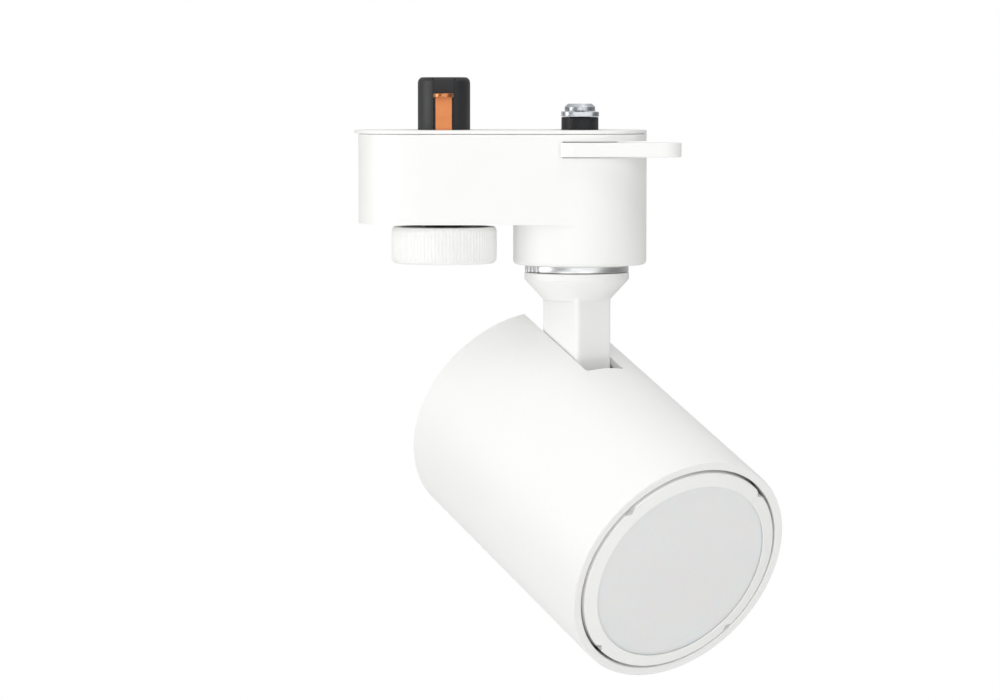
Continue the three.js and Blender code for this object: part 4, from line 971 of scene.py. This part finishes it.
def stem():
    """A flange, a groove and a cone that runs down onto a bar with rounded corners.

    Above the cone's foot each row is the larger of two radii at the same angle, the bar's and the cone's,
    with a small fillet where they meet. Below it each row is the bar's own section, which is drawn in along
    the heading by a straight line and then by the eye's circle: half depth = sqrt(eye radius^2 - drop^2).
    """
    skin = Skin()
    outline = section(BAR_DEPTH / 2, BAR_THICKNESS / 2, BAR_CORNER, 36)
    angle = np.arctan2(outline[:, 1], outline[:, 0])
    bar_radius = np.hypot(outline[:, 0], outline[:, 1])
    neck = FLANGE_RADIUS - GROOVE_DEPTH
    flange_bottom = FLANGE_TOP - FLANGE_HEIGHT
    socket_radius = NIPPLE_RADIUS + 0.15
    profile = eased(
        [(socket_radius, FLANGE_TOP), (FLANGE_RADIUS, FLANGE_TOP), (FLANGE_RADIUS, flange_bottom),
         (neck, flange_bottom), (neck, CONE_TOP)],
        [0, 0.35, 0.25, 0.08, 0.1], closed=False)
    cone_share = np.linspace(0, 1, 36)[1:, None]
    cone = np.array([[neck, CONE_TOP]]) * (1 - cone_share) + np.array([[CONE_FOOT, CONE_BOTTOM]]) * cone_share
    fillet = 0.25

    def row(radius, height):
        """The larger of the cone's radius c and the bar's b: (c + b + sqrt((c - b)^2 + fillet^2)) / 2."""
        gap = radius - bar_radius
        blended = (radius + bar_radius + np.sqrt(gap**2 + fillet**2)) / 2
        eased_radius = np.where(np.abs(gap) > 6 * fillet, np.maximum(radius, bar_radius), blended)
        return upright(eased_radius[:, None] * around, height)

    around = np.column_stack([np.cos(angle), np.sin(angle)])
    socket = [(0, FLANGE_TOP - SOCKET_DEPTH), (socket_radius, FLANGE_TOP - SOCKET_DEPTH)]
    plain = [upright(r * around, z) for r, z in [*socket, *profile]]
    skin.grid(np.stack(plain + [row(r, z) for r, z in cone] + [upright(outline, CONE_BOTTOM)]))

    eye_x = -EYE_OFFSET
    foot = PIVOT_Z + BAR_FOOT_RISE
    tangent = math.radians(324)
    eye_front = (eye_x + EYE_RADIUS * math.cos(tangent), PIVOT_Z + EYE_RADIUS * math.sin(tangent))
    front = np.vstack([
        [[BAR_DEPTH / 2, CONE_BOTTOM]], [[BAR_DEPTH / 2, foot]],
        arc(eye_x, PIVOT_Z, EYE_RADIUS, tangent, 1.5 * math.pi, 20),
    ])
    back = np.vstack([
        [[-BAR_DEPTH / 2, CONE_BOTTOM]], arc(eye_x, PIVOT_Z, EYE_RADIUS, math.pi, 1.5 * math.pi, 24),
    ])
    bottom = PIVOT_Z - EYE_RADIUS
    heights = np.concatenate([
        np.linspace(CONE_BOTTOM, foot + 0.6, 10), np.linspace(foot + 0.4, foot - 0.4, 5),
        np.linspace(foot - 0.8, eye_front[1], 8)[:-1],
        bottom + (eye_front[1] - bottom) * (1 - np.sin(np.linspace(0, math.pi / 2, 14)[:-1])),
        [bottom + 0.004],
    ])
    rows = []
    for height in heights:
        ahead = np.interp(-height, -front[:, 1], front[:, 0])
        behind = np.interp(-height, -back[:, 1], back[:, 0])
        drawn = section(max((ahead - behind) / 2, 0.02), BAR_THICKNESS / 2, BAR_CORNER, 36)
        rows.append(upright(drawn + ((ahead + behind) / 2, 0), height))
    skin.grid(np.stack(rows))
    skin.cap([rows[-1][:, :2]], lambda flat: upright(flat, heights[-1]))
    make_piece("stem_fine", "swivel", skin.merged(), (SWIVEL[0], SWIVEL[1]), powder_coat, sharp=50)


# ---- Head ----


def can_point(radius, angle, x):
    """A point of the can by its angle from the top line: y = r sin a, z = r cos a."""
    angle, x = np.broadcast_arrays(angle, x)
    return np.stack([x, radius * np.sin(angle), radius * np.cos(angle)], axis=-1)


def can():
    """A tube with a slot in its top that runs in from its rear rim.

    Behind the slot's end the columns go round the bottom from one side of the slot to the other. Ahead of it
    they go all the way round, and those under the slot start on its end, which has rounded corners. The
    slot's sides are upright, so each wall's own radius gives the angle at which a column meets them.
    """
    sheet = Sheet()
    half = SLOT_WIDTH / 2
    end = SLOT_END - SLOT_CORNER
    round_turn = np.linspace(0, math.pi / 2, 9)
    corner_y = half - SLOT_CORNER + SLOT_CORNER * np.cos(round_turn)
    corner_x = end + SLOT_CORNER * np.sin(round_turn)
    flat_y = np.linspace(half - SLOT_CORNER, SLOT_CORNER - half, 9)[1:-1]
    slot_y = np.concatenate([corner_y, flat_y, -corner_y[::-1]])
    slot_x = np.concatenate([corner_x, np.full(7, SLOT_END), corner_x[::-1]])
    share = np.linspace(0, 1, 180)
    back = np.linspace(-REAR_REACH, end, 12)[:, None]
    ahead = np.linspace(0, 1, 14)[:, None]

    def around(radius):
        side = math.asin(half / radius)
        return side + (TAU - 2 * side) * share

    def behind(radius):
        return can_point(radius, around(radius)[None], back)

    def front(radius):
        angle = np.concatenate([around(radius), TAU + np.arcsin(slot_y[::-1] / radius)[1:-1]])
        start = np.concatenate([np.full(len(share), end), slot_x[::-1][1:-1]])[None]
        return can_point(radius, angle[None], start + (FRONT_REACH - start) * ahead)

    sheet.grid(behind(CAN_RADIUS), behind(CAN_BORE), around=False)
    sheet.grid(front(CAN_RADIUS), front(CAN_BORE))
    make_piece("can_fine", "head", sheet.closed(), CAN, powder_coat, bevel=0.3)


def rear_cover():
    """A disc in the can's rear with a notch for the stem and a hole for each tie screw."""
    skin = Skin()
    radius = CAN_BORE - REAR_COVER_INSET
    notch = SLOT_WIDTH / 2 + 0.2
    low = PIVOT_HEIGHT - (BAR_DEPTH / 2 - EYE_OFFSET) - 0.65
    top = math.asin(notch / radius)
    rim = np.linspace(top, TAU - top, 160)
    disc = np.column_stack([-radius * np.sin(rim), radius * np.cos(rim)])
    corners = [(notch, radius), (notch, low), (-notch, low), (-notch, radius)]
    foot = eased(corners, [0, 0.5, 0.5, 0], closed=False)
    outline = np.vstack([disc, foot[1:-1]])
    holes = [circle(TIE_HOLE, 40, y, -TIE_DROP)[::-1] for y in (-TIE_SPREAD, TIE_SPREAD)]
    slab(
        skin, [outline, *holes], 0, REAR_COVER_THICKNESS, edge=0.25,
        lift=lambda flat, depth: facing_x(flat, -REAR_REACH + REAR_COVER_INSET + depth),
    )
    make_piece("rear_cover_fine", "head", skin.merged(), CAN, powder_coat)


def tie_screws():
    for i, y in enumerate((-TIE_SPREAD, TIE_SPREAD)):
        screw(
            "tie_screw_%d_fine" % (i + 1), "head", CAN,
            profile=pan_profile(head=2.7, height=1.3, shank=1.5, length=34.5), arm=1.6, slot=0.32, depth=0.65,
            place=lambda points, y=y: laid(points) * (-1, 1, 1) + (-REAR_REACH + TIE_SEAT, y, -TIE_DROP),
        )


def front_ring():
    """A turned ring whose outer edge is cut by four wedge-shaped notches and whose skirt carries three lugs.

    In a notch the radius is at most outer - depth + distance from the notch's middle * depth / half width.
    """
    skin = Skin()
    proud = FRONT_REACH + RING_PROUD
    skirt_back = FRONT_REACH - SKIRT_BACK
    lip = DIFFUSER_RADIUS - LIP_OVERLAP
    shoulder = FRONT_REACH - SHOULDER
    notch_back = proud - NOTCH_LENGTH
    corners = [
        (SEAT_RADIUS, skirt_back), (SKIRT_RADIUS, skirt_back), (SKIRT_RADIUS, skirt_back + LUG_THICKNESS),
        (SKIRT_RADIUS, skirt_back + LUG_THICKNESS), (SKIRT_RADIUS, shoulder), (RING_OUTER, shoulder),
        (RING_OUTER, notch_back), (RING_OUTER, notch_back), (RING_OUTER, proud), (lip, LIP_FRONT),
        (lip, LIP_FRONT - LIP_WALL), (SEAT_RADIUS, LIP_FRONT - LIP_WALL),
    ]
    profile = np.vstack([
        np.array(corners[:8]), eased(corners[7:12], [0, 0.35, 0.12, 0.1, 0], closed=False)[1:],
    ])
    notch_angle = (np.arange(4) + 0.5) * math.pi / 2 + NOTCH_TURN
    plain_angle = np.arange(240) * TAU / 240
    near = np.linspace(-1, 1, 21) * math.asin(NOTCH_WIDTH / 2 / RING_OUTER) * 1.02
    lug_middle = np.arange(LUG_COUNT) * TAU / LUG_COUNT
    lug_edge = lug_middle[:, None] + np.array([-0.502, -0.498, 0.498, 0.502]) * LUG_ARC
    angle = np.unique(np.round(np.concatenate([
        plain_angle, (notch_angle[:, None] + near).ravel() % TAU, lug_edge.ravel() % TAU,
    ]), 5))
    off = (angle[:, None] - notch_angle + math.pi) % TAU - math.pi
    nearest = np.abs(off).min(1)
    notched = RING_OUTER - NOTCH_DEPTH + RING_OUTER * np.sin(nearest) * NOTCH_DEPTH / (NOTCH_WIDTH / 2)
    lug_off = (angle[:, None] - lug_middle + math.pi) % TAU - math.pi
    in_lug = np.abs(lug_off).min(1) < LUG_ARC / 2
    radius = np.broadcast_to(profile[:, 0:1], (len(profile), len(angle))).copy()
    radius[1:3] += LUG_HEIGHT * in_lug
    cut_rows = (profile[:, 1] >= notch_back - 1e-6) & (profile[:, 0] > lip + 0.5)
    cut_rows[:7] = False
    radius[cut_rows] = np.minimum(radius[cut_rows], notched)
    x = np.broadcast_to(profile[:, 1:2], radius.shape)
    points = np.stack([x, radius * np.sin(angle), -radius * np.cos(angle)], axis=2)
    points = np.concatenate([points, points[:1]])
    skin.grid(points)
    make_piece("front_ring_fine", "ring", skin.merged(), CAN, white_pbt, sharp=35)


def diffuser():
    """A disc with a rounded edge and a slightly crowned face: x falls with the square of the radius."""
    skin = Skin()
    front = LIP_FRONT - LIP_WALL - 0.1
    back = front - DIFFUSER_THICKNESS
    inner = np.linspace(0, 1, 16)[:-1]
    face = np.column_stack([DIFFUSER_RADIUS * inner, front - DIFFUSER_CROWN * inner**2])
    corners = [face[-1], (DIFFUSER_RADIUS, front - DIFFUSER_CROWN), (DIFFUSER_RADIUS, back), (0, back)]
    rim = eased(corners, [0, 0.3, 0.3, 0], closed=False)
    skin.grid(laid(turned(np.vstack([face, rim[1:]]), 160)))
    make_piece("diffuser_fine", "ring", skin.merged(), CAN, frosted_polycarbonate)


adapter_body()
adapter_cover()
adapter_screws()
tooth_washer()
contact_knob()
contact_post()
contact_blades()
knob_screw()
lock_lever()
lock_post()
lock_plate()
lock_plate_screw()
stem()
can()
rear_cover()
tie_screws()
front_ring()
diffuser()

# ---- Finishes of the pieces whose solids are shown as they are ----

CARRIED = {
    turned_brass: ["terminal_live", "terminal_neutral", "swivel_nipple", "swivel_nut"],
    zinc_plate: [
        "terminal_screw_live", "terminal_screw_neutral", "lock_clip", "swivel_stop_washer", "pivot_bracket",
        "bracket_screw_1", "bracket_screw_2", "pivot_bolt", "pivot_nut", "holder_screw_1", "holder_screw_2",
    ],
    nickel_plate: ["swivel_spring_washer"],
    red_pvc: ["lead_live", "led_lead_plus"],
    blue_pvc: ["lead_neutral", "led_lead_minus"],
    grey_acetal: ["friction_washer_left", "friction_washer_right", "terminal_block", "bayonet_collar"],
    die_cast_aluminium: ["heat_sink", "led_board"],
    phosphor_silicone: ["led_emitter"],
    white_pbt: ["led_holder"],
    vapour_mirror: ["reflector"],
    black_nylon: ["driver_tray", "transformer", "capacitor", "choke"],
    solder_mask: ["driver_board"],
}


def carry_over():
    for material, names in CARRIED.items():
        for name in names:
            materials = frame["nodes"][name].data.materials
            materials.clear()
            materials.append(material)


carry_over()

# ---- Floor and light ----


FLOOR_HEIGHT = -330
FLOOR_RADIUS = 600
FLOOR_SLOPE = 20  # its edge, past its flat top
FLOOR_THICKNESS = 4


def make_floor():
    """A pale disc well under the lamp."""
    foot = FLOOR_HEIGHT - FLOOR_THICKNESS
    profile = [(0, FLOOR_HEIGHT), (FLOOR_RADIUS, FLOOR_HEIGHT), (FLOOR_RADIUS + FLOOR_SLOPE, foot), (0, foot)]
    skin = Skin()
    skin.grid(turned(profile, 96))
    points, quads, triangles = skin.merged()
    mesh = bpy.data.meshes.new("floor")
    mesh.from_pydata((points * MM).tolist(), [], quads.tolist() + triangles.tolist())
    pale = bpy.data.materials.new("pale paper")
    pale.use_nodes = True
    shader = pale.node_tree.nodes["Principled BSDF"]
    shader.inputs["Base Color"].default_value = linear("#ededec")
    shader.inputs["Roughness"].default_value = 0.8
    mesh.materials.append(pale)
    floor = bpy.data.objects.new("floor", mesh)
    bpy.context.scene.collection.objects.link(floor)


# How bright the room is from each side: (from -X, from +X), (from -Y, from +Y), (from below, from above).
ROOM = ((0.25, 0.2), (0.35, 0.6), (0.1, 1.05))


def make_world():
    """White where the camera looks past the object, and the room's own brightness for its light.

    A direction's light is the sum over its three components of component squared x that side's brightness, so
    it passes smoothly from one side of the room to the next.
    """
    world = bpy.data.worlds.new("studio")
    bpy.context.scene.world = world
    world.use_nodes = True
    tree = world.node_tree
    tree.nodes.clear()
    direction = add(tree, "ShaderNodeTexCoord").outputs["Generated"]
    parts = add(tree, "ShaderNodeSeparateXYZ", {"Vector": direction})
    shares = []
    for axis, (low, high) in zip("XYZ", ROOM):
        part = parts.outputs[axis]
        square = add(tree, "ShaderNodeMath", {0: part, 1: part}, operation="MULTIPLY")
        side = add(tree, "ShaderNodeMapRange", {
            "Value": part, "From Min": -0.001, "From Max": 0.001, "To Min": low, "To Max": high,
        })
        share = add(tree, "ShaderNodeMath", {
            0: square.outputs["Value"], 1: side.outputs["Result"],
        }, operation="MULTIPLY")
        shares.append(share.outputs["Value"])
    level = add(tree, "ShaderNodeMath", {0: shares[0], 1: shares[1]}, operation="ADD")
    room = add(tree, "ShaderNodeMath", {0: level.outputs["Value"], 1: shares[2]}, operation="ADD")
    light = add(tree, "ShaderNodeBackground", {"Strength": room.outputs["Value"]})
    sight = add(tree, "ShaderNodeBackground", {"Strength": 1.0})
    for shade in (light, sight):
        shade.inputs["Color"].default_value = (1, 1, 1, 1)
    seen = add(tree, "ShaderNodeLightPath").outputs["Is Camera Ray"]
    mix = add(tree, "ShaderNodeMixShader", {0: seen, 1: light.outputs[0], 2: sight.outputs[0]})
    add(tree, "ShaderNodeOutputWorld", {"Surface": mix.outputs[0]})


LIGHT_SIZE = 1.0

# Each light's place in metres and its power in watts.
LIGHTS = {
    "front": ((0.0, -1.7, 0.3), 4.4),
    "left": ((-1.5, -0.3, 0.2), 9.5),
    "low left": ((-0.6, -1.3, -0.9), 9),
    "low right": ((0.5, -1.3, -0.9), 8.5),
    "high right": ((0.6, -0.5, 1.5), 4.5),
    "front right": ((1.0, -1.4, 0.2), 3.6),
}


def add_light(name, place, power):
    """A square area light that faces the lamp's middle."""
    data = bpy.data.lights.new(name, "AREA")
    data.shape = "SQUARE"
    data.size = LIGHT_SIZE
    data.energy = power
    light = bpy.data.objects.new(name, data)
    light.location = place
    middle = (cad_low + cad_high) / 2
    light.rotation_euler = (middle - light.location).to_track_quat("-Z", "Y").to_euler()
    bpy.context.scene.collection.objects.link(light)


make_floor()
make_world()
for name, (place, power) in LIGHTS.items():
    add_light(name, place, power)
bpy.context.scene.view_settings.view_transform = "Standard"
